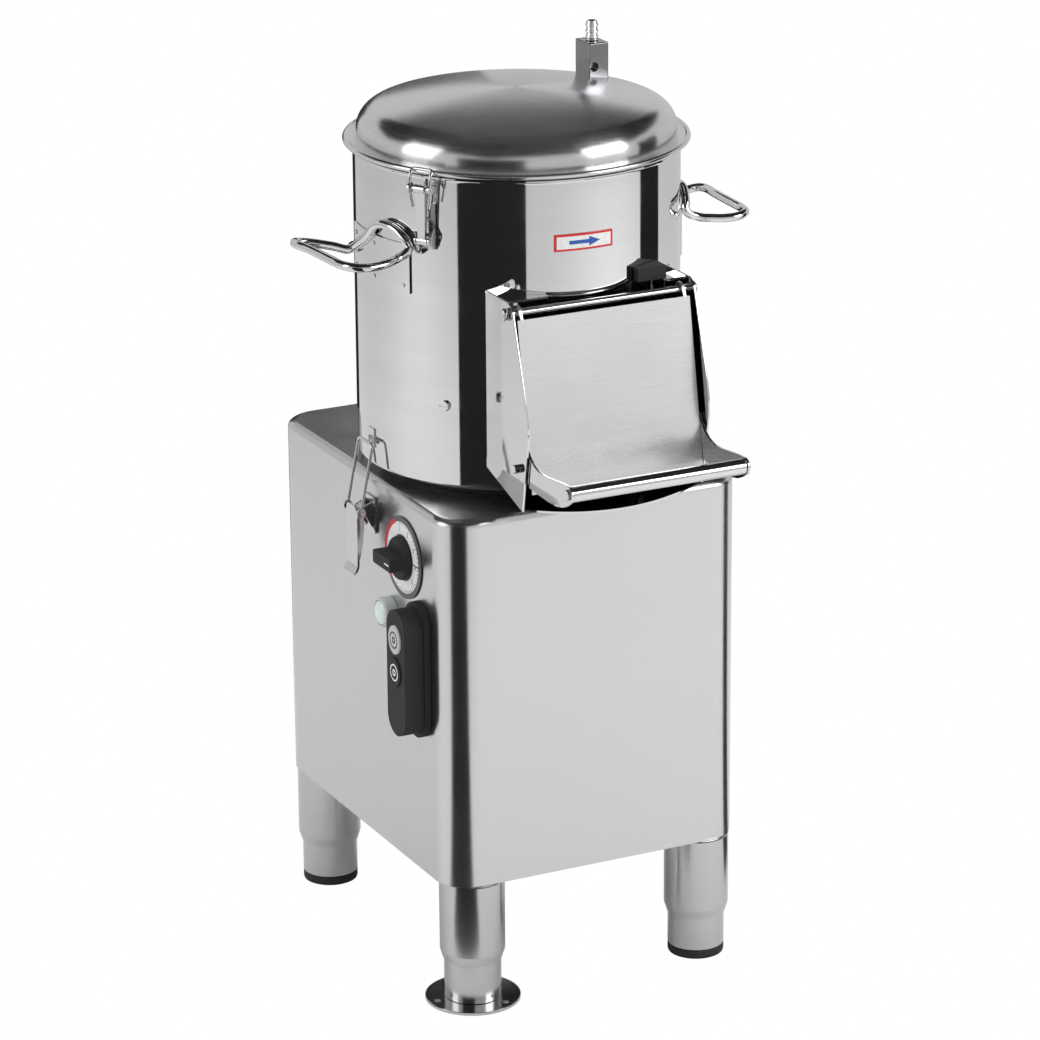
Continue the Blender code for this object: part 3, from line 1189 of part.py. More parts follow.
def build_door_arms():
    for sign, axis, side in ((-1, "-X", "left"), (1, "X", "right")):
        near = DOOR_HALF_WIDTH + FIT_GAP
        x_low = min(sign * near, sign * (near + DOOR_ARM_THICK))
        mesh = prism_mesh("arm", [arm_outline()], x_low, x_low + DOOR_ARM_THICK, "X")
        arm = place_mesh("door_arm_" + side, mesh, POLISHED, DOOR_PIVOT)
        profile = [(0, BAR_BOLT_HEIGHT), (BAR_BOLT_RADIUS / 2, BAR_BOLT_HEIGHT),
                   (BAR_BOLT_RADIUS, BAR_BOLT_HEIGHT * 2 / 3), (BAR_BOLT_RADIUS, 0), (0, 0)]
        bolt = turned_mesh("bar_bolt", profile, SMALL_STEPS // 2)
        middle = near + DOOR_ARM_THICK / 2
        bolt.transform(Matrix.Translation((sign * middle, BAR_Y, BAR_Z)) @ turn_matrix(axis))
        join(arm, helper(bolt))


def build_door_bar():
    half = DOOR_HALF_WIDTH
    mesh = rod_mesh("door_handle_bar", BAR_RADIUS, (-half, BAR_Y, BAR_Z), (half, BAR_Y, BAR_Z))
    place_mesh("door_handle_bar", mesh, POLISHED, DOOR_PIVOT)


# Lid
def dome_points(offset, base):
    """The dome from the crown to the foot of its side, set in by an offset, as (radius, height)."""
    side = LID_SIDE_RADIUS - offset
    shoulder = LID_SHOULDER_RADIUS - offset
    crown = LID_CROWN_RADIUS - offset
    centre_z = LID_FLANGE_BOTTOM + LID_SHEET + LID_SIDE_HEIGHT
    flat = (LID_SIDE_RADIUS - LID_SHOULDER_RADIUS) / (LID_CROWN_RADIUS - LID_SHOULDER_RADIUS)
    lean = math.degrees(math.asin(flat))
    crown_z = centre_z - (LID_CROWN_RADIUS - LID_SHOULDER_RADIUS) * math.cos(math.radians(lean))
    points = arc((0, crown_z), crown, 90, 90 - lean, 3)
    points += arc((LID_SIDE_RADIUS - LID_SHOULDER_RADIUS, centre_z), shoulder, 90 - lean, 0,
            ARC_STEPS - 1)[1:]
    points.append((side, base))
    points[0] = (0, crown_z + crown)
    return points


def lid_height(radius):
    """The dome's outer height at a distance from the axis, on its crown."""
    centre_z = LID_FLANGE_BOTTOM + LID_SHEET + LID_SIDE_HEIGHT
    inner = LID_CROWN_RADIUS - LID_SHOULDER_RADIUS
    crown_z = centre_z - math.sqrt(inner ** 2 - (LID_SIDE_RADIUS - LID_SHOULDER_RADIUS) ** 2)
    return crown_z + math.sqrt(LID_CROWN_RADIUS ** 2 - radius ** 2)


def build_lid():
    flange_top = LID_FLANGE_BOTTOM + LID_SHEET
    outer = dome_points(0, flange_top + LID_SHEET)
    outer.append((LID_SIDE_RADIUS + LID_SHEET, flange_top))
    rise = math.degrees(math.asin(LID_SHEET / 2 / LID_BEAD_RADIUS))
    bead = arc((LID_BEAD_CENTRE_RADIUS, LID_BEAD_Z), LID_BEAD_RADIUS, 180 - rise, rise - 180, CORNER_STEPS)
    inner = [(LID_SIDE_RADIUS - LID_SHEET, LID_FLANGE_BOTTOM)]
    inner += list(reversed(dome_points(LID_SHEET, LID_FLANGE_BOTTOM + LID_SHEET)))
    lid = turned_node("lid_dome", outer + bead + inner, DRUM_CENTRE, SATIN,
            steps=ROUND_STEPS + SMALL_STEPS // 3)
    distance = math.hypot(INLET_X, INLET_Y - DRUM_OFFSET_Y)
    surface = lid_height(distance)
    hole = rod_mesh("inlet_hole", INLET_BORE, (INLET_X, INLET_Y, surface - LID_SHOULDER_RADIUS),
                    (INLET_X, INLET_Y, surface + CUT_OVERRUN), SMALL_STEPS // 2)
    cut(lid, helper(hole))
    seal_outer = DRUM_RADIUS + DRUM_RIM_REACH
    seal_inner = seal_outer - LID_SEAL_WIDTH
    low = DRUM_TOP + FIT_GAP
    high = low + LID_SEAL_HEIGHT
    turned_node("lid_seal", [(seal_outer, high), (seal_outer, low), (seal_inner, low), (seal_inner, high)],
                DRUM_CENTRE, RUBBER)


INLET_DISTANCE = math.hypot(INLET_X, INLET_Y - DRUM_OFFSET_Y)
INLET_FOOT = lid_height(INLET_DISTANCE)
INLET_TOP = INLET_FOOT + INLET_HEIGHT


def build_inlet():
    half_x = INLET_WIDTH / 2
    half_y = INLET_DEPTH / 2
    low = (INLET_X - half_x, INLET_Y - half_y, INLET_FOOT - INLET_SINK)
    high = (INLET_X + half_x, INLET_Y + half_y, INLET_TOP)
    block = place_mesh("inlet_block", box_mesh("inlet_block", low, high, INLET_ROUND, 1), SATIN)
    under = INLET_FOOT - 2 * INLET_SINK
    hollow = dome_points(-FIT_GAP, LID_FLANGE_BOTTOM) + [(0, LID_FLANGE_BOTTOM)]
    dome = turned_mesh("dome_clearance", hollow, ROUND_STEPS + SMALL_STEPS // 3)
    cut(block, helper(shifted(dome, DRUM_CENTRE)))
    bore = rod_mesh("inlet_bore", INLET_BORE, (INLET_X, INLET_Y, under),
                    (INLET_X, INLET_Y, INLET_TOP + CUT_OVERRUN), SMALL_STEPS // 2)
    port_z = INLET_FOOT + INLET_PORT_LIFT
    port_x = INLET_X - half_x / 2
    port = rod_mesh("inlet_port", INLET_PORT_RADIUS, (port_x, INLET_Y - half_y - CUT_OVERRUN, port_z),
                    (port_x, INLET_Y - half_y + INLET_PORT_DEPTH, port_z), SMALL_STEPS // 2)
    cut(block, helper(bore), helper(port))
    low = INLET_TOP + FIT_GAP
    waist = BARB_RADIUS * BARB_WAIST_SHARE
    top = low + BARB_LENGTH
    flare = BARB_LENGTH / 7
    profile = [(waist, top), (BARB_RADIUS, top - flare), (waist, top - 3 * flare), (BARB_RADIUS,
            top - 4 * flare),
               (waist, top - 6 * flare), (BARB_RADIUS + waist - BARB_BORE, low + flare / 2),
               (BARB_RADIUS + waist - BARB_BORE, low), (BARB_BORE, low), (BARB_BORE, top)]
    turned_node("hose_barb", profile, (INLET_X, INLET_Y, 0), POLISHED, steps=SMALL_STEPS)


# Peeling disc
def build_disc():
    top = DISC_BOTTOM + DISC_THICK
    hub_low = DISC_BOTTOM - DISC_HUB_HEIGHT
    bore = SHAFT_RADIUS + FIT_GAP
    blind = DISC_BOTTOM + FIT_GAP
    knob_top = top + DISC_KNOB_HEIGHT
    profile = [(0, knob_top), (DISC_KNOB_RADIUS / 2, knob_top), (DISC_KNOB_RADIUS,
            knob_top - DISC_KNOB_HEIGHT / 2),
               (DISC_KNOB_RADIUS, top), (DISC_RADIUS, top), (DISC_RADIUS, DISC_BOTTOM),
               (DISC_HUB_RADIUS, DISC_BOTTOM), (DISC_HUB_RADIUS, hub_low), (bore, hub_low), (bore,
                       blind), (0, blind)]
    turned_node("peeling_disc", profile, DRUM_CENTRE, CAST)
    low = top + FIT_GAP
    high = low + DISC_GRIT_THICK
    inner = DISC_KNOB_RADIUS + FIT_GAP
    outer = DISC_RADIUS - DISC_GRIT_MARGIN
    grit = turned_node("disc_grit", [(outer, high), (outer, low), (inner, low), (inner, high)],
            DRUM_CENTRE, GRIT)
    half = WAVE_LENGTH / 2
    for i in range(WAVE_COUNT):
        section = [(-WAVE_WIDTH / 2, high - DISC_GRIT_THICK / 2), (WAVE_WIDTH / 2,
                high - DISC_GRIT_THICK / 2),
                   (WAVE_WIDTH / 4, high + WAVE_HEIGHT), (0, high + WAVE_HEIGHT)]
        wave = prism_mesh("wave", [section], WAVE_CENTRE - half, WAVE_CENTRE + half, "Y")
        turn = Matrix.Rotation(2 * math.pi * i / WAVE_COUNT, 4, "Z")
        wave.transform(Matrix.Translation(DRUM_CENTRE) @ turn)
        join(grit, helper(wave))


# Lid latches: a lever on the drum carries a two-claw hook that holds the lid's rolled rim
def lid_latch_frame(azimuth):
    return wall_frame(azimuth, DRUM_CENTRE, DRUM_RADIUS)


LID_LATCH_PIVOT = Vector((LATCH_PIVOT_STANDOFF, 0, DRUM_BOTTOM + LID_LATCH_PIVOT_LIFT))
LID_LATCH_ROLLER = LID_LATCH_PIVOT + Vector((LID_LATCH_ROLLER_OUT, 0, LID_LATCH_ROLLER_RISE))
CLAW_CLEARANCE = (LID_BEAD_RADIUS + LATCH_WIRE + FIT_GAP) * math.sqrt(0.5)
CLAW_TIP = Vector((LID_BEAD_CENTRE_RADIUS - DRUM_RADIUS + CLAW_CLEARANCE, 0, LID_BEAD_Z + CLAW_CLEARANCE))


def tube_along(name, centre, outer, inner, low, high, steps=SMALL_STEPS // 2):
    """A short tube along the local y axis."""
    hole = oval_points(centre, inner, steps)
    ring = oval_points(centre, outer, steps)
    return prism_mesh(name, [ring, hole] if inner else [ring], low, high, "Y")


def oval_points(centre, radius, steps):
    points = []
    for i in range(steps):
        angle = 2 * math.pi * i / steps
        points.append((centre[0] + radius * math.cos(angle), centre[1] + radius * math.sin(angle)))
    return points


def build_lid_latches():
    for side, azimuth in zip(("front", "back"), LID_LATCH_AZIMUTHS):
        frame = lid_latch_frame(azimuth)
        place_mesh("lid_latch_base_" + side, lid_latch_base(frame), SATIN)
        build_lid_latch_lever(side, frame)
        build_lid_latch_hook(side, frame)


def lid_latch_base(frame):
    pivot = LID_LATCH_PIVOT
    half = LID_LATCH_HALF_WIDTH
    low = pivot.z - LID_LATCH_BASE_DROP
    back = FIT_GAP
    face = back + LATCH_BASE_THICK
    plate = helper(box_mesh("base", (back, -half, low), (face, half, low + LID_LATCH_BASE_HEIGHT)))
    reach = pivot.x + LATCH_KNUCKLE
    for sign in (-1, 1):
        y_low = min(sign * half, sign * (half - LATCH_EAR_THICK))
        ear = prism_mesh("ear", [[(back + LATCH_BASE_THICK / 2, pivot.z - LATCH_KNUCKLE), (reach,
                pivot.z - LATCH_KNUCKLE),
                                  (reach, pivot.z + LATCH_KNUCKLE),
                                  (back + LATCH_BASE_THICK / 2, pivot.z + LID_LATCH_BASE_DROP)]],
                         y_low, y_low + LATCH_EAR_THICK, "Y")
        join(plate, helper(ear))
    pin_reach = half + LATCH_EAR_THICK
    pin = rod_mesh("pin", LATCH_PIN, (pivot.x, -pin_reach, pivot.z), (pivot.x, pin_reach, pivot.z),
            SMALL_STEPS // 2)
    join(plate, helper(pin))
    mesh = evaluated_mesh(plate)
    mesh.transform(frame)
    return mesh


def build_lid_latch_lever(side, frame):
    pivot = LID_LATCH_PIVOT
    roller = LID_LATCH_ROLLER
    half = LID_LATCH_HALF_WIDTH - LATCH_EAR_THICK - LATCH_BORE_GAP
    bore = LATCH_PIN + LATCH_BORE_GAP
    knuckle = helper(tube_along("knuckle", (pivot.x, pivot.z), LATCH_KNUCKLE, bore, -half, half))
    face = pivot.x + LATCH_KNUCKLE
    thick = LID_LATCH_LEVER_THICK
    blade = [(face - thick, pivot.z), (face, pivot.z), (roller.x + thick, roller.z), (roller.x, roller.z)]
    strip = prism_mesh("blade", [blade], -half, half, "Y")
    pin_half = LID_LATCH_CLAW_HALF + LATCH_WIRE + FIT_GAP
    pin = rod_mesh("roller", LATCH_PIN, (roller.x, -pin_half, roller.z), (roller.x, pin_half, roller.z),
            SMALL_STEPS // 2)
    barrel = rod_mesh("barrel", LATCH_KNUCKLE, (roller.x, -half, roller.z), (roller.x, half, roller.z),
            SMALL_STEPS // 2)
    join(knuckle, helper(strip), helper(barrel), helper(pin))
    mesh = evaluated_mesh(knuckle)
    mesh.transform(frame)
    place_mesh("lid_latch_lever_" + side, mesh, PLATED, frame @ pivot)


def build_lid_latch_hook(side, frame):
    roller = LID_LATCH_ROLLER
    tip = CLAW_TIP
    half = LID_LATCH_CLAW_HALF
    turn_x = roller.x + LATCH_WIRE / 2
    rise = tip.z - LATCH_WIRE * 4
    left = [(roller.x, -half, roller.z - LID_LATCH_CLAW_TAIL), (turn_x, -half, roller.z), (turn_x,
            -half, rise),
            (tip.x, -half, tip.z)]
    right = [(x, -y, z) for x, y, z in reversed(left)]
    wire = helper(wire_mesh("claw", left + right, LATCH_WIRE, resolution=1))
    thick = LID_LATCH_LUG_THICK
    for sign in (-1, 1):
        y_low = sign * half - thick / 2
        lug = rod_mesh("lug", LID_LATCH_LUG_RADIUS, (roller.x, y_low, roller.z), (roller.x,
                y_low + thick, roller.z),
                       SMALL_STEPS // 2)
        join(wire, helper(lug))
    reach = half + LATCH_WIRE + CUT_OVERRUN
    bore = rod_mesh("lug_bore", LATCH_PIN + LATCH_BORE_GAP, (roller.x, -reach, roller.z), (roller.x,
            reach, roller.z),
                    SMALL_STEPS // 2)
    cut(wire, helper(bore))
    mesh = evaluated_mesh(wire)
    mesh.transform(frame)
    place_mesh("lid_latch_hook_" + side, mesh, PLATED, frame @ roller)


# Drum latches: a lever on the cabinet wall carries a wire bail that holds the catch on the drum
DRUM_LATCH_PIVOT = Vector((LATCH_PIVOT_STANDOFF, 0, CABINET_TOP - DRUM_LATCH_PIVOT_DROP))
DRUM_LATCH_CRANK_PIN = DRUM_LATCH_PIVOT + Vector((DRUM_LATCH_CRANK, 0, 0))
DRUM_WALL = DRUM_RADIUS - WALL_X
CATCH_BEAD = Vector((DRUM_WALL + CATCH_BEAD_OUT, 0, DRUM_BOTTOM + CATCH_BEAD_LIFT))
BAIL_CLEARANCE = (CATCH_BEAD_RADIUS + LATCH_WIRE + FIT_GAP) * math.sqrt(0.5)
BAIL_BAR = CATCH_BEAD + Vector((BAIL_CLEARANCE, 0, BAIL_CLEARANCE))


def drum_latch_frame(azimuth):
    return wall_frame(azimuth, DRUM_CENTRE, WALL_X)


def build_drum_latches():
    for side, azimuth in (("left", -90), ("right", 90)):
        frame = drum_latch_frame(azimuth)
        place_mesh("drum_latch_base_" + side, drum_latch_base(frame), PLATED)
        build_drum_latch_lever(side, frame)
        build_drum_latch_bail(side, frame)


def drum_latch_base(frame):
    pivot = DRUM_LATCH_PIVOT
    half = DRUM_LATCH_HALF_WIDTH
    back = FIT_GAP
    face = back + LATCH_BASE_THICK
    low = pivot.z - DRUM_LATCH_BASE_BOTTOM
    plate = helper(box_mesh("base", (back, -half, low), (face, half, pivot.z + DRUM_LATCH_BASE_TOP)))
    inner = half - LATCH_EAR_THICK * 2
    reach = pivot.x + LATCH_PIN + LATCH_BASE_THICK / 2
    for sign in (-1, 1):
        y_low = min(sign * inner, sign * (inner - LATCH_EAR_THICK))
        ear = prism_mesh("ear", [[(back + LATCH_BASE_THICK / 2, low + LATCH_KNUCKLE),
                                  (reach, pivot.z - LATCH_KNUCKLE),
                                  (reach, pivot.z + LATCH_KNUCKLE),
                                  (back + LATCH_BASE_THICK / 2, pivot.z + LATCH_KNUCKLE)]],
                         y_low, y_low + LATCH_EAR_THICK, "Y")
        join(plate, helper(ear))
    pin_end = inner - LATCH_EAR_THICK / 2
    pin = rod_mesh("pin", LATCH_PIN, (pivot.x, -pin_end, pivot.z), (pivot.x, pin_end, pivot.z),
            SMALL_STEPS // 2)
    join(plate, helper(pin))
    mesh = evaluated_mesh(plate)
    mesh.transform(frame)
    return mesh


def drum_catch(frame):
    back = DRUM_WALL - DRUM_SHEET / 2
    half = CATCH_HALF_WIDTH
    face = DRUM_WALL + CATCH_THICK
    strap = box_mesh("catch", (back, -half, DRUM_BOTTOM + CATCH_BOTTOM_LIFT), (face, half,
            DRUM_BOTTOM + CATCH_TOP_LIFT))
    plate = helper(strap)
    bead = CATCH_BEAD
    web_half = half - CATCH_BEAD_RADIUS / 2
    web = box_mesh("web", (back + CATCH_THICK / 2, -web_half, bead.z - CATCH_BEAD_RADIUS / 2),
                   (bead.x, web_half, bead.z + CATCH_BEAD_RADIUS / 2))
    lip_half = half - CATCH_BEAD_RADIUS / 3
    lip = rod_mesh("lip", CATCH_BEAD_RADIUS, (bead.x, -lip_half, bead.z), (bead.x, lip_half, bead.z),
                   SMALL_STEPS // 2)
    join(plate, helper(web), helper(lip))
    mesh = evaluated_mesh(plate)
    mesh.transform(frame)
    return mesh


def build_drum_latch_lever(side, frame):
    pivot = DRUM_LATCH_PIVOT
    crank = DRUM_LATCH_CRANK_PIN
    half = DRUM_LATCH_HALF_WIDTH
    inner = half - LATCH_EAR_THICK * 3 - LATCH_BORE_GAP
    bore = LATCH_PIN + LATCH_BORE_GAP
    knuckle = helper(tube_along("knuckle", (pivot.x, pivot.z), LATCH_KNUCKLE, bore,
                                                         -inner, inner))
    web = box_mesh("web", (pivot.x + bore, -inner, pivot.z - LATCH_PIN), (crank.x, inner,
            pivot.z + LATCH_PIN))
    thick = DRUM_LATCH_LEVER_THICK
    back = crank.x + LATCH_PIN / 2
    tail = pivot.z - DRUM_LATCH_LEVER_TAIL
    tip = tail + DRUM_LATCH_TIP_LENGTH
    blade = [(back, pivot.z + DRUM_LATCH_LEVER_TOP), (back, tip), (back + DRUM_LATCH_TIP_KICK, tail),
             (back + DRUM_LATCH_TIP_KICK + thick, tail), (back + thick, tip),
             (back + thick, pivot.z + DRUM_LATCH_LEVER_TOP)]
    plate = prism_mesh("blade", [blade], -half, half, "Y")
    pin_half = DRUM_LATCH_BAIL_HALF + LATCH_WIRE + FIT_GAP
    pin = rod_mesh("crank", LATCH_PIN, (crank.x, -pin_half, crank.z), (crank.x, pin_half, crank.z),
            SMALL_STEPS // 2)
    join(knuckle, helper(web), helper(plate), helper(pin))
    mesh = evaluated_mesh(knuckle)
    mesh.transform(frame)
    place_mesh("drum_latch_lever_" + side, mesh, PLATED, frame @ pivot)


def build_drum_latch_bail(side, frame):
    crank = DRUM_LATCH_CRANK_PIN
    bar = BAIL_BAR
    half = DRUM_LATCH_BAIL_HALF
    points = [(crank.x, -half, crank.z), (bar.x, -half, bar.z), (bar.x, half, bar.z), (crank.x, half,
            crank.z)]
    wire = helper(wire_mesh("bail", points, LATCH_WIRE, resolution=1))
    thick = 2 * LATCH_WIRE
    for sign in (-1, 1):
        y_low = sign * half - thick / 2
        lug = rod_mesh("lug", LID_LATCH_LUG_RADIUS, (crank.x, y_low, crank.z), (crank.x, y_low + thick,
                crank.z),
                       SMALL_STEPS // 2)
        join(wire, helper(lug))
    reach = half + LATCH_WIRE + CUT_OVERRUN
    bore = rod_mesh("bail_bore", LATCH_PIN + LATCH_BORE_GAP, (crank.x, -reach, crank.z), (crank.x,
            reach, crank.z),
                    SMALL_STEPS // 2)
    cut(wire, helper(bore))
    mesh = evaluated_mesh(wire)
    mesh.transform(frame)
    place_mesh("drum_latch_bail_" + side, mesh, PLATED, frame @ crank)


# Controls
def build_dial():
    near = -WALL_X - FIT_GAP
    centre = (near, DIAL_Y, DIAL_Z)
    hole = SPINDLE_RADIUS + FIT_GAP
    plate = [(DIAL_RADIUS, DIAL_THICK), (DIAL_RADIUS, 0), (hole, 0), (hole, DIAL_THICK)]
    turned_node("timer_dial", plate, centre, DIAL_PRINT, "-X", ROUND_STEPS)
    face = near - DIAL_THICK - FIT_GAP
    skirt = [(0, KNOB_SKIRT), (KNOB_RADIUS * 0.9, KNOB_SKIRT), (KNOB_RADIUS, 0), (SPINDLE_RADIUS, 0),
             (SPINDLE_RADIUS, -SPINDLE_LENGTH), (0, -SPINDLE_LENGTH)]
    knob = turned_node("timer_knob", skirt, (face, DIAL_Y, DIAL_Z), BLACK_PLASTIC, "-X", SMALL_STEPS + 8)
    grip_high = face - KNOB_SKIRT - KNOB_GRIP_HEIGHT
    grip = box_mesh("grip", (grip_high, DIAL_Y - KNOB_RADIUS * 0.95, DIAL_Z - KNOB_GRIP_WIDTH / 2),
                    (face - KNOB_SKIRT / 2, DIAL_Y + KNOB_RADIUS * 0.95, DIAL_Z + KNOB_GRIP_WIDTH / 2),
                    KNOB_GRIP_ROUND)
    join(knob, helper(grip))


def build_lamp():
    near = -WALL_X - FIT_GAP
    inner = LAMP_RADIUS - LAMP_WALL
    bezel = [(LAMP_RADIUS, LAMP_HEIGHT), (LAMP_RADIUS, 0), (inner, 0), (inner, LAMP_HEIGHT)]
    turned_node("lamp_bezel", bezel, (near, LAMP_Y, LAMP_Z), GREY_PLASTIC, "-X", SMALL_STEPS)
    radius = inner - FIT_GAP
    lens = [(0, LAMP_HEIGHT + LAMP_LENS_DOME), (radius * 0.6, LAMP_HEIGHT + LAMP_LENS_DOME * 0.7),
            (radius, LAMP_HEIGHT), (radius, 0), (0, 0)]
    turned_node("lamp_lens", lens, (near, LAMP_Y, LAMP_Z), LENS, "-X", SMALL_STEPS)


def button_place(rise):
    return (SWITCH_Y, SWITCH_Z + rise)


def build_switch():
    near = -WALL_X - FIT_GAP
    far = near - SWITCH_DEPTH
    body = prism_mesh("switch_housing", [stadium(SWITCH_HALF_WIDTH, SWITCH_HALF_HEIGHT, (SWITCH_Y,
            SWITCH_Z))],
                      far, near, "X")
    housing = place_mesh("switch_housing", body, BLACK_PLASTIC)
    reach = SWITCH_FLANGE_REACH
    flange = prism_mesh("flange", [stadium(SWITCH_HALF_WIDTH + reach,
            SWITCH_HALF_HEIGHT + SWITCH_FLANGE_RISE,
                                           (SWITCH_Y, SWITCH_Z))], near - SWITCH_FLANGE_THICK, near, "X")
    join(housing, helper(flange))
    for name, rise, mat in (("start_button", START_BUTTON_RISE, GREY_PLASTIC),
                            ("stop_button", STOP_BUTTON_RISE, BLACK_PLASTIC)):
        gap = BUTTON_GAP
        pocket = prism_mesh("pocket", [oval(BUTTON_HALF_WIDTH + gap, BUTTON_HALF_HEIGHT + gap,
                button_place(rise))],
                            far - CUT_OVERRUN, far + BUTTON_POCKET, "X")
        cut(housing, helper(pocket))
        key = prism_mesh(name, [oval(BUTTON_HALF_WIDTH, BUTTON_HALF_HEIGHT, button_place(rise))],
                         far - BUTTON_PROUD, far - BUTTON_PROUD + BUTTON_LENGTH, "X")
        place_mesh(name, key, mat, (far, *button_place(rise)))


def build_electrics():
    near = -WALL_X + CABINET_SHEET + FIT_GAP
    y_low = SWITCH_Y - SWITCH_HALF_WIDTH
    z_high = DIAL_Z - 3 * SPINDLE_RADIUS
    low = (near, y_low, z_high - ELECTRICS_HEIGHT)
    high = (near + ELECTRICS_WIDTH, y_low + ELECTRICS_DEPTH, z_high)
    place_mesh("electrics_box", box_mesh("electrics_box", low, high, ELECTRICS_ROUND, 1), GREY_PLASTIC)


def build_gland():
    base = BACK_Y + FIT_GAP + COVER_THICK + FIT_GAP
    dome = GLAND_RADIUS * 0.7
    profile = [(dome, GLAND_LENGTH), (GLAND_RADIUS * 0.9, GLAND_LENGTH * 0.7), (GLAND_RADIUS * 0.9,
            GLAND_NUT_THICK),
               (GLAND_RADIUS, GLAND_NUT_THICK), (GLAND_RADIUS, 0), (GLAND_BORE, 0), (GLAND_BORE,
                       GLAND_LENGTH)]
    turned_node("cable_gland", profile, (GLAND_X, base, GLAND_Z), BLACK_PLASTIC, "Y", SMALL_STEPS // 2)


def build_all():
    build_cabinet_shell()
    build_back_cover()
    build_legs()
    build_bearing_housing()
    build_drive()
    build_drain_pipe()
    build_seat_ring()
    build_drum_shell()
    build_liner()
    build_label()
    build_handles()
    build_chute()
    build_hinge_rod()
    build_sensor()
    build_door_panel()
    build_door_arms()
    build_door_bar()
    build_lid()
    build_inlet()
    build_disc()
    build_lid_latches()
    build_drum_latches()
    build_dial()
    build_lamp()
    build_switch()
    build_electrics()
    build_gland()


build_all()
for node in PEELER.objects:
    if node.type == "MESH":
        node.data.shade_smooth()
        node.data.set_sharp_from_angle(angle=math.radians(30))
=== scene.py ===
"""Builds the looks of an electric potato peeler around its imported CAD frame."""

import math

import bpy
from mathutils import Matrix, Vector


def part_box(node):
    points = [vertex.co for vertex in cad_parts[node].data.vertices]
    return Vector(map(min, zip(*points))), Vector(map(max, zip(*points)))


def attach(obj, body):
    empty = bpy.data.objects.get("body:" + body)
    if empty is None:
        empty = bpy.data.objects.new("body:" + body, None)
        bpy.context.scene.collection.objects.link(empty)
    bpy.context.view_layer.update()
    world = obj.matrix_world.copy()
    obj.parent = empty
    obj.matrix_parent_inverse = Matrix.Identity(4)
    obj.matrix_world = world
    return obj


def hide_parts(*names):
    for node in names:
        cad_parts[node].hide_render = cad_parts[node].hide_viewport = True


bl_info = {
    "name": "Electric potato peeler",
    "version": (1, 0, 0),
    "blender": (4, 5, 0),
    "location": "3D View > Sidebar > Peeler",
    "description": "Models the steel, plastic and print of a potato peeler, one operator per group",
    "category": "Add Mesh",
}

MM = 0.001
SHIFT_Y = 50.425

# Main sizes in millimetres, row frame
CABINET_HALF_X = 150
CABINET_HALF_Y = 185
CABINET_CORNER = 32
CABINET_BOTTOM = 120
CABINET_TOP = 470
CABINET_SHEET = 2
DRUM_OWN_Y = -26
DRUM_Y = DRUM_OWN_Y + SHIFT_Y
DRUM_RADIUS = 148
DRUM_BOTTOM = 480
DRUM_TOP = 767
DRAIN_AZIMUTH = 125
DRAIN_REACH = 90
LEG_X = 116.3
LEG_Y = 158.2
HINGE_Y = -186.95
HINGE_Z = 656
BAR_Y = -296.95
BAR_Z = 522
LATHE_STEPS = 160
FINE_STEPS = 48

# Places on the latches, x measured out from the drum axis
LID_PIVOT = (157, 709)
LID_ROLLER = (161, 757)
LID_WIRE_HALF = 10.5
DRUM_PIVOT = (159, 441)
CRANK_X = 167
BAIL_BAR = (154.33, 504.3)
BAIL_HALF = 14.6
WIRE_RADIUS = 1.5

# The photograph's camera
CAMERA_PLACE = (-1.82773, -3.65301, 1.80346)
CAMERA_YAW = -26.44
CAMERA_TILT = 71.18
CAMERA_ROLL = -0.39

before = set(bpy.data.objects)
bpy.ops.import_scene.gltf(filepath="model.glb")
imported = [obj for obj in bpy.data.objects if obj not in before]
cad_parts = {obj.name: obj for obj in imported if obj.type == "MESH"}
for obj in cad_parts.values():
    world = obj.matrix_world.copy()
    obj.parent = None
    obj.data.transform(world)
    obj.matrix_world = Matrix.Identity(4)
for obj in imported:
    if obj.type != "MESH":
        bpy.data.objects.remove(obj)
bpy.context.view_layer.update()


# Helpers that model by operators
def clear_selection():
    """Nothing is selected or active afterwards."""
    if bpy.context.object and bpy.context.object.mode != "OBJECT":
        bpy.ops.object.mode_set(mode="OBJECT")
    bpy.ops.object.select_all(action="DESELECT")


def only(obj):
    """Selects this object alone and makes it active."""
    clear_selection()
    obj.select_set(True)
    bpy.context.view_layer.objects.active = obj


def apply_place(obj):
    """Bakes the object's place, turn and scale into its vertices."""
    only(obj)
    bpy.ops.object.transform_apply(location=True, rotation=True, scale=True)


def outward(obj):
    """Turns every face outward."""
    only(obj)
    bpy.ops.object.mode_set(mode="EDIT")
    bpy.ops.mesh.select_all(action="SELECT")
    bpy.ops.mesh.normals_make_consistent(inside=False)
    bpy.ops.object.mode_set(mode="OBJECT")


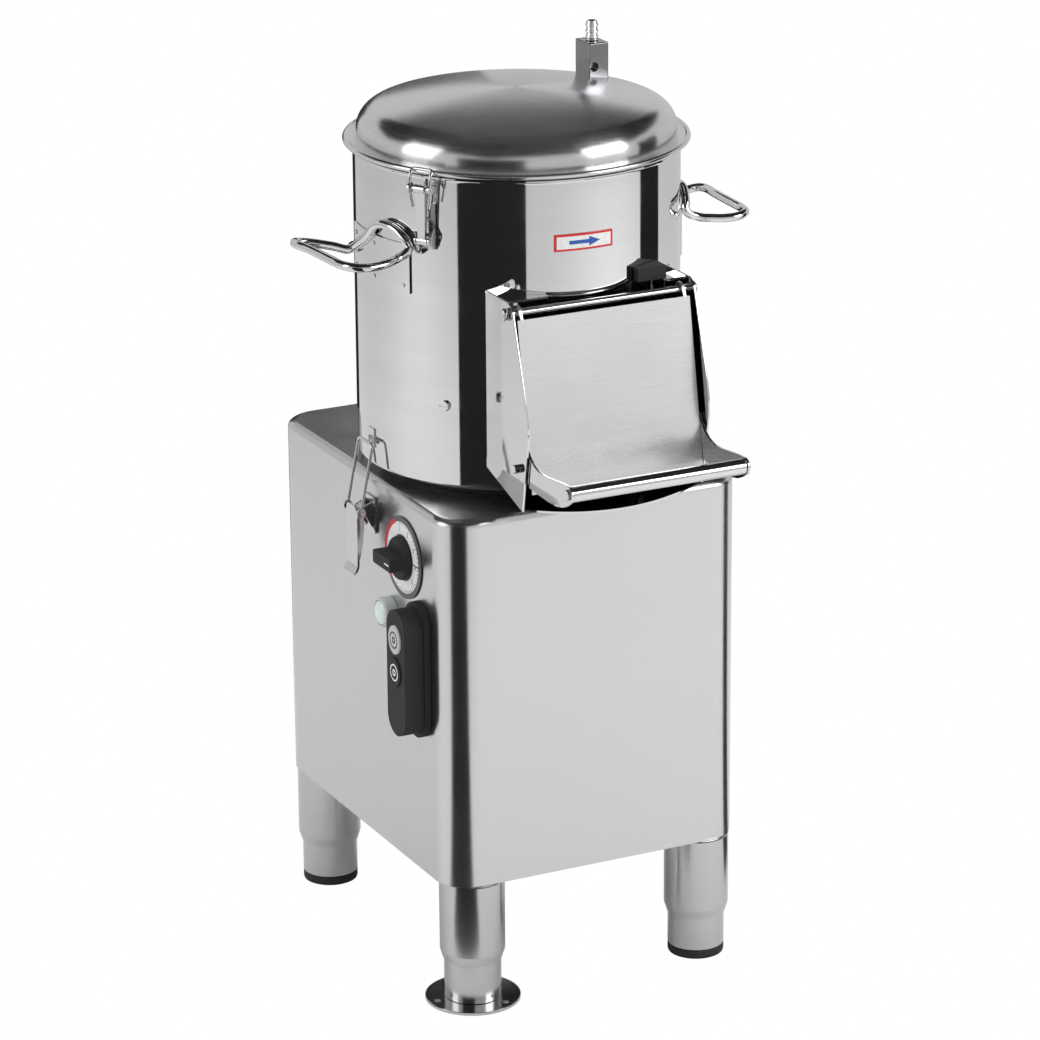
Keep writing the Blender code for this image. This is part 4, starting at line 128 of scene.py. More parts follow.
def turned(name, profile, centre=(0, 0), steps=LATHE_STEPS, closed=True):
    """A turned piece about a vertical axis. profile lists (radius, height) in millimetres."""
    clear_selection()
    first_radius, first_height = profile[0]
    place = (centre[0] * MM, centre[1] * MM, first_height * MM)
    bpy.ops.mesh.primitive_circle_add(
        vertices=steps, radius=first_radius * MM, fill_type="NOTHING", location=place)
    obj = bpy.context.object
    obj.name = name
    bpy.ops.object.transform_apply(location=True, rotation=True, scale=True)
    bpy.ops.object.mode_set(mode="EDIT")
    bpy.ops.mesh.select_mode(type="VERT")
    bpy.ops.mesh.select_all(action="SELECT")
    last_radius, last_height = first_radius, first_height
    for radius, height in profile[1:]:
        rise = (height - last_height) * MM
        bpy.ops.mesh.extrude_region_move(TRANSFORM_OT_translate={"value": (0, 0, rise)})
        grow = radius / last_radius
        bpy.ops.transform.resize(
            value=(grow, grow, 1), center_override=(place[0], place[1], height * MM))
        last_radius, last_height = radius, height
    if closed:
        bpy.ops.mesh.select_mode(type="EDGE")
        bpy.ops.mesh.select_all(action="DESELECT")
        bpy.ops.mesh.select_non_manifold(extend=False, use_wire=False, use_boundary=True)
        bpy.ops.mesh.bridge_edge_loops()
    else:
        bpy.ops.mesh.edge_face_add()
        bpy.ops.mesh.select_all(action="DESELECT")
        bpy.ops.mesh.select_non_manifold(extend=False, use_wire=False, use_boundary=True)
        bpy.ops.mesh.edge_face_add()
    bpy.ops.mesh.select_all(action="SELECT")
    bpy.ops.mesh.normals_make_consistent(inside=False)
    bpy.ops.object.mode_set(mode="OBJECT")
    return obj


def plate(name, outline, depth, bevel=0.0, segments=2):
    """A flat plate. outline lists 3-D corners in one plane and depth is the push, both in millimetres."""
    clear_selection()
    bpy.ops.mesh.primitive_circle_add(vertices=len(outline), radius=MM, fill_type="NGON")
    obj = bpy.context.object
    obj.name = name
    for vertex, corner in zip(obj.data.vertices, outline):
        vertex.co = Vector(corner) * MM
    bpy.ops.object.mode_set(mode="EDIT")
    bpy.ops.mesh.select_all(action="SELECT")
    push = tuple(d * MM for d in depth)
    bpy.ops.mesh.extrude_region_move(TRANSFORM_OT_translate={"value": push})
    bpy.ops.mesh.select_all(action="SELECT")
    bpy.ops.mesh.normals_make_consistent(inside=False)
    if bevel:
        bpy.ops.mesh.select_all(action="DESELECT")
        bpy.ops.mesh.select_mode(type="EDGE")
        bpy.ops.mesh.edges_select_sharp(sharpness=math.radians(50))
        bpy.ops.mesh.bevel(offset=bevel * MM, segments=segments, profile=0.5)
    bpy.ops.object.mode_set(mode="OBJECT")
    return obj


def block(name, size, centre, bevel=0.0, segments=3):
    """A box with rounded edges, sizes in millimetres."""
    clear_selection()
    place = tuple(c * MM for c in centre)
    bpy.ops.mesh.primitive_cube_add(size=1, location=place, scale=tuple(s * MM for s in size))
    obj = bpy.context.object
    obj.name = name
    bpy.ops.object.transform_apply(location=True, rotation=True, scale=True)
    if bevel:
        bpy.ops.object.mode_set(mode="EDIT")
        bpy.ops.mesh.select_all(action="SELECT")
        bpy.ops.mesh.bevel(offset=bevel * MM, segments=segments, profile=0.5)
        bpy.ops.object.mode_set(mode="OBJECT")
    return obj


def disc(name, radius, depth, centre, axis="Z", bevel=0.0, steps=FINE_STEPS):
    """A round bar or pad about an axis, sizes in millimetres, with its middle at centre."""
    clear_selection()
    turn = {"X": (0, math.pi / 2, 0), "Y": (math.pi / 2, 0, 0), "Z": (0, 0, 0)}[axis]
    place = tuple(c * MM for c in centre)
    bpy.ops.mesh.primitive_cylinder_add(
        vertices=steps, radius=radius * MM, depth=depth * MM, location=place, rotation=turn)
    obj = bpy.context.object
    obj.name = name
    bpy.ops.object.transform_apply(location=True, rotation=True, scale=True)
    if bevel:
        bpy.ops.object.mode_set(mode="EDIT")
        bpy.ops.mesh.select_all(action="DESELECT")
        bpy.ops.mesh.select_mode(type="EDGE")
        bpy.ops.mesh.edges_select_sharp(sharpness=math.radians(50))
        bpy.ops.mesh.bevel(offset=bevel * MM, segments=3, profile=0.5)
        bpy.ops.object.mode_set(mode="OBJECT")
    return obj


def wire(name, points, radius, cyclic=False, smooth=False, steps=8):
    """A round bar bent along points, in millimetres."""
    clear_selection()
    bpy.ops.curve.primitive_bezier_curve_add(location=(0, 0, 0))
    obj = bpy.context.object
    obj.name = name
    curve = obj.data
    curve.splines.clear()
    spline = curve.splines.new("BEZIER" if smooth else "POLY")
    if smooth:
        spline.bezier_points.add(len(points) - 1)
        for knot, point in zip(spline.bezier_points, points):
            knot.co = Vector(point) * MM
            knot.handle_left_type = "AUTO"
            knot.handle_right_type = "AUTO"
        spline.resolution_u = 6
    else:
        spline.points.add(len(points) - 1)
        for knot, point in zip(spline.points, points):
            knot.co = (*(Vector(point) * MM), 1)
    spline.use_cyclic_u = cyclic
    curve.dimensions = "3D"
    curve.bevel_depth = radius * MM
    curve.bevel_resolution = steps
    curve.use_fill_caps = not cyclic
    bpy.ops.object.convert(target="MESH")
    obj = bpy.context.object
    if not cyclic:
        bpy.ops.object.mode_set(mode="EDIT")
        bpy.ops.mesh.select_all(action="SELECT")
        bpy.ops.mesh.remove_doubles(threshold=0.00001)
        bpy.ops.mesh.normals_make_consistent(inside=False)
        bpy.ops.object.mode_set(mode="OBJECT")
    return obj


def joined(name, *parts):
    """One object out of several."""
    clear_selection()
    for part in parts:
        part.select_set(True)
    bpy.context.view_layer.objects.active = parts[0]
    if len(parts) > 1:
        bpy.ops.object.join()
    obj = bpy.context.object
    obj.name = name
    return obj


def boolean(obj, cutter, operation="DIFFERENCE"):
    """Cuts obj with cutter, or adds it, and removes the cutter."""
    only(obj)
    bpy.ops.object.modifier_add(type="BOOLEAN")
    step = obj.modifiers[-1]
    step.operation = operation
    step.solver = "EXACT"
    step.object = cutter
    bpy.ops.object.modifier_apply(modifier=step.name)
    only(cutter)
    bpy.ops.object.delete()
    only(obj)
    return obj


def swung(obj, azimuth, distance):
    """Takes a piece whose x points out to its azimuth about the drum (0 is the front, + to the right)."""
    apply_place(obj)
    turn = math.radians(azimuth - 90)
    out = Matrix.Rotation(turn, 3, "Z") @ Vector((distance * MM, 0, 0))
    obj.rotation_euler = (0, 0, turn)
    obj.location = (out.x, out.y + DRUM_Y * MM, 0)
    apply_place(obj)
    return obj


def on_drum(azimuth, radius, height):
    """A point about the drum axis in millimetres."""
    turn = math.radians(azimuth)
    return (radius * math.sin(turn), DRUM_Y - radius * math.cos(turn), height)


def arc(centre, radius, start, end, steps):
    """Points of an arc in a plane, angles in degrees."""
    points = []
    for step in range(steps + 1):
        turn = math.radians(start + (end - start) * step / steps)
        points.append((centre[0] + radius * math.cos(turn), centre[1] + radius * math.sin(turn)))
    return points


def eased(points, radius, steps=6):
    """A path whose corners are rounded off, in millimetres."""
    path = [Vector(points[0])]
    for before, middle, after in zip(points, points[1:], points[2:]):
        corner = Vector(middle)
        back = Vector(before) - corner
        ahead = Vector(after) - corner
        reach = min(radius, back.length * 0.45, ahead.length * 0.45)
        start = corner + back.normalized() * reach
        end = corner + ahead.normalized() * reach
        for step in range(steps + 1):
            share = step / steps
            path.append(start.lerp(corner, share).lerp(corner.lerp(end, share), share))
    path.append(Vector(points[-1]))
    return path


def rounded_rectangle(half_x, half_y, corner, steps):
    """Points of a rectangle with round corners about the middle."""
    points = []
    for cx, cy, start in (
            (half_x - corner, half_y - corner, 0), (corner - half_x, half_y - corner, 90),
            (corner - half_x, corner - half_y, 180), (half_x - corner, corner - half_y, 270)):
        points += arc((cx, cy), corner, start, start + 90, steps)
    return points


def sheet_strip(name, columns, thickness):
    """A sheet through rows of points, given its thickness by a solidify modifier.
    columns is a list of rows of points in millimetres."""
    clear_selection()
    across = len(columns[0]) - 1
    along = len(columns) - 1
    bpy.ops.mesh.primitive_grid_add(x_subdivisions=across, y_subdivisions=along, size=1)
    obj = bpy.context.object
    obj.name = name
    flat = [point for row in columns for point in row]
    for vertex, point in zip(obj.data.vertices, flat):
        vertex.co = Vector(point) * MM
    bpy.ops.object.modifier_add(type="SOLIDIFY")
    step = obj.modifiers[-1]
    step.thickness = thickness * MM
    step.offset = 0
    bpy.ops.object.modifier_apply(modifier=step.name)
    outward(obj)
    return obj


def painted(obj, material):
    """Gives a piece one material."""
    obj.data.materials.clear()
    obj.data.materials.append(material)
    return obj


def done(obj, body, nodes, material, angle=35):
    """Shades a finished piece, paints it and ties it to its CAD body."""
    only(obj)
    bpy.ops.object.transform_apply(location=True, rotation=True, scale=True)
    bpy.ops.object.shade_smooth_by_angle(angle=math.radians(angle))
    bpy.ops.object.modifier_add(type="WEIGHTED_NORMAL")
    step = obj.modifiers[-1]
    step.keep_sharp = True
    bpy.ops.object.modifier_apply(modifier=step.name)
    if material is not None:
        painted(obj, material)
    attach(obj, body)
    if nodes:
        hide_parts(*nodes)
    clear_selection()
    return obj


# Materials
def new_material(name):
    """An empty node material with its principled shader and output."""
    found = bpy.data.materials.get(name)
    if found:
        return found, None
    material = bpy.data.materials.new(name)
    material.use_nodes = True
    return material, material.node_tree


def noise(tree, scale, detail, stretch):
    """Noise over object coordinates, stretched by a mapping."""
    coordinates = tree.nodes.new("ShaderNodeTexCoord")
    mapping = tree.nodes.new("ShaderNodeMapping")
    mapping.inputs["Scale"].default_value = stretch
    texture = tree.nodes.new("ShaderNodeTexNoise")
    texture.inputs["Scale"].default_value = scale
    texture.inputs["Detail"].default_value = detail
    tree.links.new(coordinates.outputs["Object"], mapping.inputs["Vector"])
    tree.links.new(mapping.outputs["Vector"], texture.inputs["Vector"])
    return texture


def ranged(tree, source, low, high):
    """Maps a 0 to 1 value into low to high."""
    node = tree.nodes.new("ShaderNodeMapRange")
    node.inputs["From Min"].default_value = 0.3
    node.inputs["From Max"].default_value = 0.7
    node.inputs["To Min"].default_value = low
    node.inputs["To Max"].default_value = high
    tree.links.new(source, node.inputs["Value"])
    return node.outputs["Result"]


def tinted(tree, source, dark, light):
    """A colour between two by a 0 to 1 value."""
    ramp = tree.nodes.new("ShaderNodeValToRGB")
    ramp.color_ramp.elements[0].position = 0.3
    ramp.color_ramp.elements[0].color = (*dark, 1)
    ramp.color_ramp.elements[1].position = 0.7
    ramp.color_ramp.elements[1].color = (*light, 1)
    tree.links.new(source, ramp.inputs["Fac"])
    return ramp.outputs["Color"]


def bumped(tree, source, strength, distance):
    """A bump from a 0 to 1 value."""
    bump = tree.nodes.new("ShaderNodeBump")
    bump.inputs["Strength"].default_value = strength
    bump.inputs["Distance"].default_value = distance
    tree.links.new(source, bump.inputs["Height"])
    return bump.outputs["Normal"]


def metal(name, colour, roughness, spread, stretch, scale, bump, anisotropy=0.0):
    """Steel with a grain: noise stretched across the brushing sets roughness, tone and bump."""
    material, tree = new_material(name)
    if tree is None:
        return material
    shader = tree.nodes["Principled BSDF"]
    shader.inputs["Metallic"].default_value = 1.0
    grain = noise(tree, scale, 3.0, stretch)
    cloud = noise(tree, 9.0, 2.0, (1, 1, 1))
    dark = tuple(c * 0.965 for c in colour)
    light = tuple(min(1.0, c * 1.02) for c in colour)
    tree.links.new(tinted(tree, grain.outputs["Fac"], dark, light), shader.inputs["Base Color"])
    both = tree.nodes.new("ShaderNodeMath")
    both.operation = "MULTIPLY"
    tree.links.new(grain.outputs["Fac"], both.inputs[0])
    tree.links.new(cloud.outputs["Fac"], both.inputs[1])
    doubled = tree.nodes.new("ShaderNodeMath")
    doubled.operation = "MULTIPLY"
    doubled.inputs[1].default_value = 2.0
    tree.links.new(both.outputs[0], doubled.inputs[0])
    tree.links.new(ranged(tree, doubled.outputs[0], roughness - spread, roughness + spread),
                   shader.inputs["Roughness"])
    if bump:
        tree.links.new(bumped(tree, grain.outputs["Fac"], bump, 0.0002), shader.inputs["Normal"])
    if anisotropy:
        shader.inputs["Anisotropic"].default_value = anisotropy
        shader.inputs["Anisotropic Rotation"].default_value = 0.25
        tangent = tree.nodes.new("ShaderNodeTangent")
        tangent.direction_type = "RADIAL"
        tangent.axis = "Z"
        tree.links.new(tangent.outputs["Tangent"], shader.inputs["Tangent"])
    return material


def plastic(name, colour, roughness, spread, scale, bump):
    """Moulded plastic, rubber, paint or print."""
    material, tree = new_material(name)
    if tree is None:
        return material
    shader = tree.nodes["Principled BSDF"]
    grain = noise(tree, scale, 4.0, (1, 1, 1))
    dark = tuple(c * 0.9 for c in colour)
    light = tuple(min(1.0, c * 1.06) for c in colour)
    tree.links.new(tinted(tree, grain.outputs["Fac"], dark, light), shader.inputs["Base Color"])
    tree.links.new(ranged(tree, grain.outputs["Fac"], roughness - spread, roughness + spread),
                   shader.inputs["Roughness"])
    tree.links.new(bumped(tree, grain.outputs["Fac"], bump, 0.0003), shader.inputs["Normal"])
    return material


def brushed_steel():
    """The cabinet's sheet, brushed level."""
    return metal("brushed_steel", (0.68, 0.68, 0.69), 0.24, 0.03, (1.5, 1.5, 160), 14.0, 0.06, 0.65)


def satin_steel():
    """The lid and the door."""
    return metal("satin_steel", (0.72, 0.72, 0.73), 0.22, 0.03, (3, 3, 90), 12.0, 0.04, 0.75)


def polished_steel():
    """The drum, the handles and the chute."""
    return metal("polished_steel", (0.76, 0.76, 0.77), 0.055, 0.015, (1, 1, 6), 8.0, 0.012)


def plated_steel():
    """Latches, screws, rods and pins."""
    return metal("plated_steel", (0.70, 0.70, 0.71), 0.16, 0.04, (4, 4, 4), 60.0, 0.05)


def cast_aluminium():
    """Motor plate, housings and pulleys."""
    return metal("cast_aluminium", (0.58, 0.58, 0.60), 0.48, 0.08, (1, 1, 1), 220.0, 0.35)


def black_plastic():
    """Switch box, knob and bezel."""
    return plastic("black_plastic", (0.022, 0.022, 0.024), 0.34, 0.06, 900.0, 0.05)


def grey_plastic():
    """Buttons and gland."""
    return plastic("grey_plastic", (0.55, 0.56, 0.57), 0.38, 0.05, 700.0, 0.04)


def bezel_plastic():
    """The lamp's pale ring."""
    return plastic("bezel_plastic", (0.62, 0.66, 0.64), 0.3, 0.05, 600.0, 0.04)


def rubber():
    """Feet, belt and seal."""
    return plastic("black_rubber", (0.018, 0.018, 0.018), 0.7, 0.08, 500.0, 0.2)


def white_print():
    """Numbers and the label's field."""
    return plastic("white_print", (0.86, 0.86, 0.86), 0.4, 0.04, 300.0, 0.02)


def grey_print():
    """The dial's outer ring."""
    return plastic("grey_print", (0.10, 0.10, 0.105), 0.4, 0.04, 300.0, 0.02)


def red_print():
    """The label's border and the dial's zero sector."""
    return plastic("red_print", (0.70, 0.025, 0.02), 0.4, 0.04, 300.0, 0.02)


def blue_print():
    """The label's arrow."""
    return plastic("blue_print", (0.03, 0.10, 0.45), 0.4, 0.04, 300.0, 0.02)


def motor_paint():
    """The motor's enamel."""
    return plastic("motor_paint", (0.10, 0.12, 0.15), 0.42, 0.06, 160.0, 0.12)


def grit_stone():
    """Bonded abrasive."""
    return plastic("abrasive_grit", (0.10, 0.09, 0.08), 0.9, 0.06, 1100.0, 1.0)


def lens_green():
    """The pale green pilot lamp."""
    material, tree = new_material("green_lens")
    if tree is None:
        return material
    shader = tree.nodes["Principled BSDF"]
    grain = noise(tree, 260.0, 2.0, (1, 1, 1))
    tree.links.new(tinted(tree, grain.outputs["Fac"], (0.66, 0.80, 0.72), (0.76, 0.88, 0.81)),
                   shader.inputs["Base Color"])
    tree.links.new(ranged(tree, grain.outputs["Fac"], 0.1, 0.2), shader.inputs["Roughness"])
    tree.links.new(bumped(tree, grain.outputs["Fac"], 0.08, 0.0003), shader.inputs["Normal"])
    shader.inputs["Coat Weight"].default_value = 0.6
    return material


SLOT_PAINTS = {
    "brushed": brushed_steel,
    "polished": polished_steel,
    "satin": satin_steel,
    "plated": plated_steel,
    "cast": cast_aluminium,
    "motor_paint": motor_paint,
    "black_plastic": black_plastic,
    "grey_plastic": grey_plastic,
    "dial_print": white_print,
    "lens": lens_green,
    "rubber": rubber,
    "grit": grit_stone,
    "print": red_print,
}


def settings(kind):
    """The pointer to a group's settings on the scene."""
    return bpy.props.PointerProperty(type=kind)


class PeelerCabinetSettings(bpy.types.PropertyGroup):
    """What can be set on the cabinet and legs."""

    leg_steps: bpy.props.IntProperty(
        name="Leg steps", description="Steps round each leg tube", default=64, min=16, max=256)
    edge_round: bpy.props.FloatProperty(
        name="Edge round", description="Radius of the cabinet's top edge", default=0.007,
        min=0.001, max=0.012, unit="LENGTH")


class PeelerDrumSettings(bpy.types.PropertyGroup):
    """What can be set on the drum, chute and door."""

    rivet_radius: bpy.props.FloatProperty(
        name="Rivet radius", description="Radius of the rivet heads on the handle plates",
        default=0.0022, min=0.001, max=0.004, unit="LENGTH")


class PeelerLidSettings(bpy.types.PropertyGroup):
    """What can be set on the lid."""

    crown_steps: bpy.props.IntProperty(
        name="Crown steps", description="Rings over the lid's crown", default=14, min=4, max=40)


class PeelerStageSettings(bpy.types.PropertyGroup):
    """Light and camera."""

    world_strength: bpy.props.FloatProperty(
        name="World strength", description="Strength of the surrounding light", default=0.62,
        min=0.0, max=2.0)
    lens_length: bpy.props.FloatProperty(
        name="Lens", description="Focal length of the camera in millimetres", default=162.2,
        min=20.0, max=400.0)


class PEELER_OT_paint_frame(bpy.types.Operator):
    """Gives every CAD node a procedural material in place of its flat one"""

    bl_idname = "peeler.paint_frame"
    bl_label = "Paint the frame"

    def execute(self, context):
        """Paints the slots."""
        names = {}
        for key, paint in SLOT_PAINTS.items():
            names[key] = paint()
        words = {
            "brushed_steel": "brushed", "polished_steel": "polished", "satin_steel": "satin",
            "plated_steel": "plated", "cast_aluminium": "cast", "motor_paint": "motor_paint",
            "black_plastic": "black_plastic", "grey_plastic": "grey_plastic",
            "dial_print": "dial_print", "green_lens": "lens", "black_rubber": "rubber",
            "abrasive_grit": "grit", "red_print": "print",
        }
        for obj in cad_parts.values():
            for held in obj.material_slots:
                if held.material is None:
                    raise RuntimeError("a CAD node has an empty slot: " + obj.name)
                label = held.material.name.split(".")[0]
                key = words.get(label, label)
                if key not in names:
                    raise RuntimeError("no paint for slot " + held.material.name)
                held.material = names[key]
        return {"FINISHED"}


class PEELER_OT_cabinet(bpy.types.Operator):
    """Cabinet shell with round corners and a rolled top edge"""

    bl_idname = "peeler.cabinet"
    bl_label = "Cabinet"

    def execute(self, context):
        """Models the shell."""
        group = context.scene.peeler_cabinet
        edge = group.edge_round / MM

        def column(name, inset, bottom, top, edge_round):
            """A block with round corners and a rolled top edge."""
            outline = rounded_rectangle(
                CABINET_HALF_X - inset, CABINET_HALF_Y - inset, CABINET_CORNER - inset, 20)
            points = [(x, y + SHIFT_Y, bottom) for x, y in outline]
            obj = plate(name, points, (0, 0, top - edge_round - bottom))
            only(obj)
            bpy.ops.object.mode_set(mode="EDIT")
            bpy.ops.mesh.select_all(action="DESELECT")
            bpy.ops.object.mode_set(mode="OBJECT")
            limit = (top - edge_round - 0.01) * MM
            for face in obj.data.polygons:
                face.select = all(obj.data.vertices[v].co.z > limit for v in face.vertices)
            bpy.ops.object.mode_set(mode="EDIT")
            rounds = 8
            half_x = CABINET_HALF_X - inset
            half_y = CABINET_HALF_Y - inset
            last = (0.0, 0.0)
            for step in range(1, rounds + 1):
                turn = math.radians(90 * step / rounds)
                now = (edge_round * (1 - math.cos(turn)), edge_round * math.sin(turn))
                rise = (now[1] - last[1]) * MM
                bpy.ops.mesh.extrude_region_move(TRANSFORM_OT_translate={"value": (0, 0, rise)})
                bpy.ops.transform.resize(
                    value=((half_x - now[0]) / (half_x - last[0]),
                           (half_y - now[0]) / (half_y - last[0]), 1),
                    center_override=(0, SHIFT_Y * MM, 0))
                last = now
            bpy.ops.mesh.select_all(action="SELECT")
            bpy.ops.mesh.normals_make_consistent(inside=False)
            bpy.ops.object.mode_set(mode="OBJECT")
            return obj

        shell = column("cabinet_walls", 0, CABINET_BOTTOM, CABINET_TOP, edge)
        inner = column(
            "cutter", CABINET_SHEET, CABINET_BOTTOM - 5, CABINET_TOP - CABINET_SHEET, edge - CABINET_SHEET)
        boolean(shell, inner)
        bore = disc("cutter", 45.5, 12, (0, DRUM_Y, CABINET_TOP), "Z", steps=96)
        boolean(shell, bore)
        boolean(shell, disc("cutter", 20, 12, on_drum(DRAIN_AZIMUTH, DRAIN_REACH, CABINET_TOP), "Z"))
        way = block("cutter", (222, 12, 272), (0, CABINET_HALF_Y + SHIFT_Y, 295))
        boolean(shell, way)
        done(shell, "cabinet", ["cabinet_shell"], brushed_steel(), 32)
        return {"FINISHED"}


class PEELER_OT_legs(bpy.types.Operator):
    """Leg sleeves with the floor plate, tubes, rubber feet and the flanged foot"""

    bl_idname = "peeler.legs"
    bl_label = "Legs and feet"

    def execute(self, context):
        """Models the legs."""
        steps = context.scene.peeler_cabinet.leg_steps
        corners = (
            ("front_left", -LEG_X, -LEG_Y), ("front_right", LEG_X, -LEG_Y),
            ("back_left", -LEG_X, LEG_Y), ("back_right", LEG_X, LEG_Y))
        outline = rounded_rectangle(147.5, 182.5, 29.5, 12)
        floor_plate = plate(
            "floor_plate", [(x, y + SHIFT_Y, CABINET_BOTTOM) for x, y in outline], (0, 0, 3))
        opening = plate(
            "cutter", [(x, y + SHIFT_Y, 115) for x, y in rounded_rectangle(100, 100, 20, 8)], (0, 0, 12))
        boolean(floor_plate, opening)
        sleeves = [floor_plate]
        for name, x, y in corners:
            profile = [
                (26.55, 41), (27.1, 41), (27.25, 41.15), (29.85, 49.6), (30, 50.2), (30, 119), (29.2, 119.7),
                (22, 119.9), (22, 107.8), (26.55, 107.8)]
            sleeves.append(turned("sleeve_" + name, profile, (x, y + SHIFT_Y), steps))
        frame = joined("base_welded", *sleeves)
        done(frame, "cabinet", ["base_frame"], leg_steel(), 30)
        for name, x, y in corners:
            low = 3.3 if name == "front_left" else 9.3
            profile = [
                (24.25, low), (25.9, low), (26.2, low + 0.3), (26.25, low + 1), (26.25, 106.9),
                (25.9, 107.35), (24.25, 107.4)]
            tube = turned("tube_" + name, profile, (x, y + SHIFT_Y), steps)
            done(tube, "foot_" + name, ["leg_tube_" + name], leg_steel(), 30)
        for name, x, y in corners[1:]:
            profile = [
                (5, 0.6), (22.6, 0.6), (23, 0), (24.4, 0), (25.6, 0.6), (26.2, 2), (26.25, 3), (26.25, 7.8),
                (25.7, 8.7), (24.6, 9), (5, 9)]
            foot = turned("rubber_" + name, profile, (x, y + SHIFT_Y), steps)
            done(foot, "foot_" + name, ["rubber_foot_" + name], rubber(), 30)
        name, x, y = corners[0]
        centre = (x, y + SHIFT_Y)
        profile = [(15, 0), (43.6, 0), (44, 0.4), (44, 2.6), (43.6, 3), (15, 3)]
        flange = turned("flange_plate", profile, centre, 96)
        for degrees in (180, 300, 60):
            turn = math.radians(degrees)
            spot = (centre[0] + 36 * math.cos(turn), centre[1] + 36 * math.sin(turn), 1.5)
            boolean(flange, disc("cutter", 3.4, 8, spot, "Z", steps=32))
        done(flange, "foot_front_left", ["flange_foot"], leg_steel(), 30)
        return {"FINISHED"}


def leg_steel():
    """The legs' tube, brushed round."""
    return metal("leg_steel", (0.60, 0.60, 0.61), 0.2, 0.03, (2, 2, 150), 12.0, 0.05, 0.5)


class PEELER_OT_drum(bpy.types.Operator):
    """Polished drum with its window, rim, latch catches and screw"""

    bl_idname = "peeler.drum"
    bl_label = "Drum"

    def execute(self, context):
        """Models the drum."""
        centre = (0, DRUM_Y)
        foot = [(DRUM_RADIUS - 4 + x, 484 + z) for x, z in arc((0, 0), 4, -90, 0, 6)]
        rim = [
            (DRUM_RADIUS, 762), (149.2, 764.2), (151.4, 764.5), (152, 765.1), (152, 766.4),
            (151.4, DRUM_TOP), (147, DRUM_TOP)]
        profile = [(24.9, DRUM_BOTTOM), *foot, *rim, (146, 766), (146, 484), (144, 482), (24.9, 482)]
        drum = turned("drum_walls", profile, centre, 192)
        window = block("cutter", (168, 90, 142), (0, DRUM_Y - DRUM_RADIUS, 579))
        boolean(drum, window)
        boolean(drum, disc("cutter", 18, 12, on_drum(DRAIN_AZIMUTH, DRAIN_REACH, DRUM_BOTTOM + 1), "Z"))
        pieces = [drum]
        profile = [(21.9, 479.9), (24.9, 479.9), (24.9, 487.5), (24.4, 488), (21.9, 488)]
        pieces.append(turned("collar", profile, centre, 96))
        head = disc("drain_screw", 5, 2.6, (149.3, 0, 0), "X", 0.8, 40)
        slot = block("cutter", (2, 8.4, 1.2), (151, 0, 0))
        boolean(head, slot)
        bpy.ops.transform.translate(value=(0, 0, 557 * MM))
        bpy.ops.object.transform_apply(location=True, rotation=True, scale=True)
        pieces.append(swung(head, -52.5, 0))
        for azimuth in (-90, 90):
            strip = block("catch", (1.6, 12, 18), (148.6, 0, 507), 0.5, 2)
            bead = disc("bead", 1.5, 12, (152, 0, 502), "Y", 0.4, 24)
            web = block("web", (4, 11.4, 1.6), (150, 0, 502.2), 0.3, 2)
            pieces.append(swung(joined("catch", strip, bead, web), azimuth, 0))
        whole = joined("drum_body", *pieces)
        done(whole, "drum", ["drum_shell"], polished_steel(), 35)
        return {"FINISHED"}


class PEELER_OT_label(bpy.types.Operator):
    """Red and white label with an arrow that shows which way the disc turns"""

    bl_idname = "peeler.label"
    bl_label = "Direction label"

    def execute(self, context):
        """Models the label."""
        def band(name, start, end, low, high, inner, outer):
            """A curved strip on the drum between two azimuths."""
            steps = 24
            inside = [on_drum(start + (end - start) * s / steps, inner, low) for s in range(steps + 1)]
            outside = [on_drum(end + (start - end) * s / steps, outer, low) for s in range(steps + 1)]
            return plate(name, inside + outside, (0, 0, high - low))

        border = band("label_border", -13.8, 7.8, 701, 716, 148.3, 149.2)
        painted(border, red_print())
        field = band("label_field", -13.0, 7.0, 702.9, 714.1, 148.9, 149.26)
        painted(field, white_print())
        shaft = band("label_shaft", -8.6, -1.2, 706.8, 710.2, 149.0, 149.32)
        painted(shaft, blue_print())
        outline = [on_drum(-1.3, 149.45, 704.2), on_drum(2.8, 149.45, 708.5), on_drum(-1.3, 149.45, 712.8)]
        tip = plate("label_tip", outline, (0, 0.4, 0))
        painted(tip, blue_print())
        label = joined("label", border, field, shaft, tip)
        done(label, "drum", ["direction_label"], None, 30)
        return {"FINISHED"}


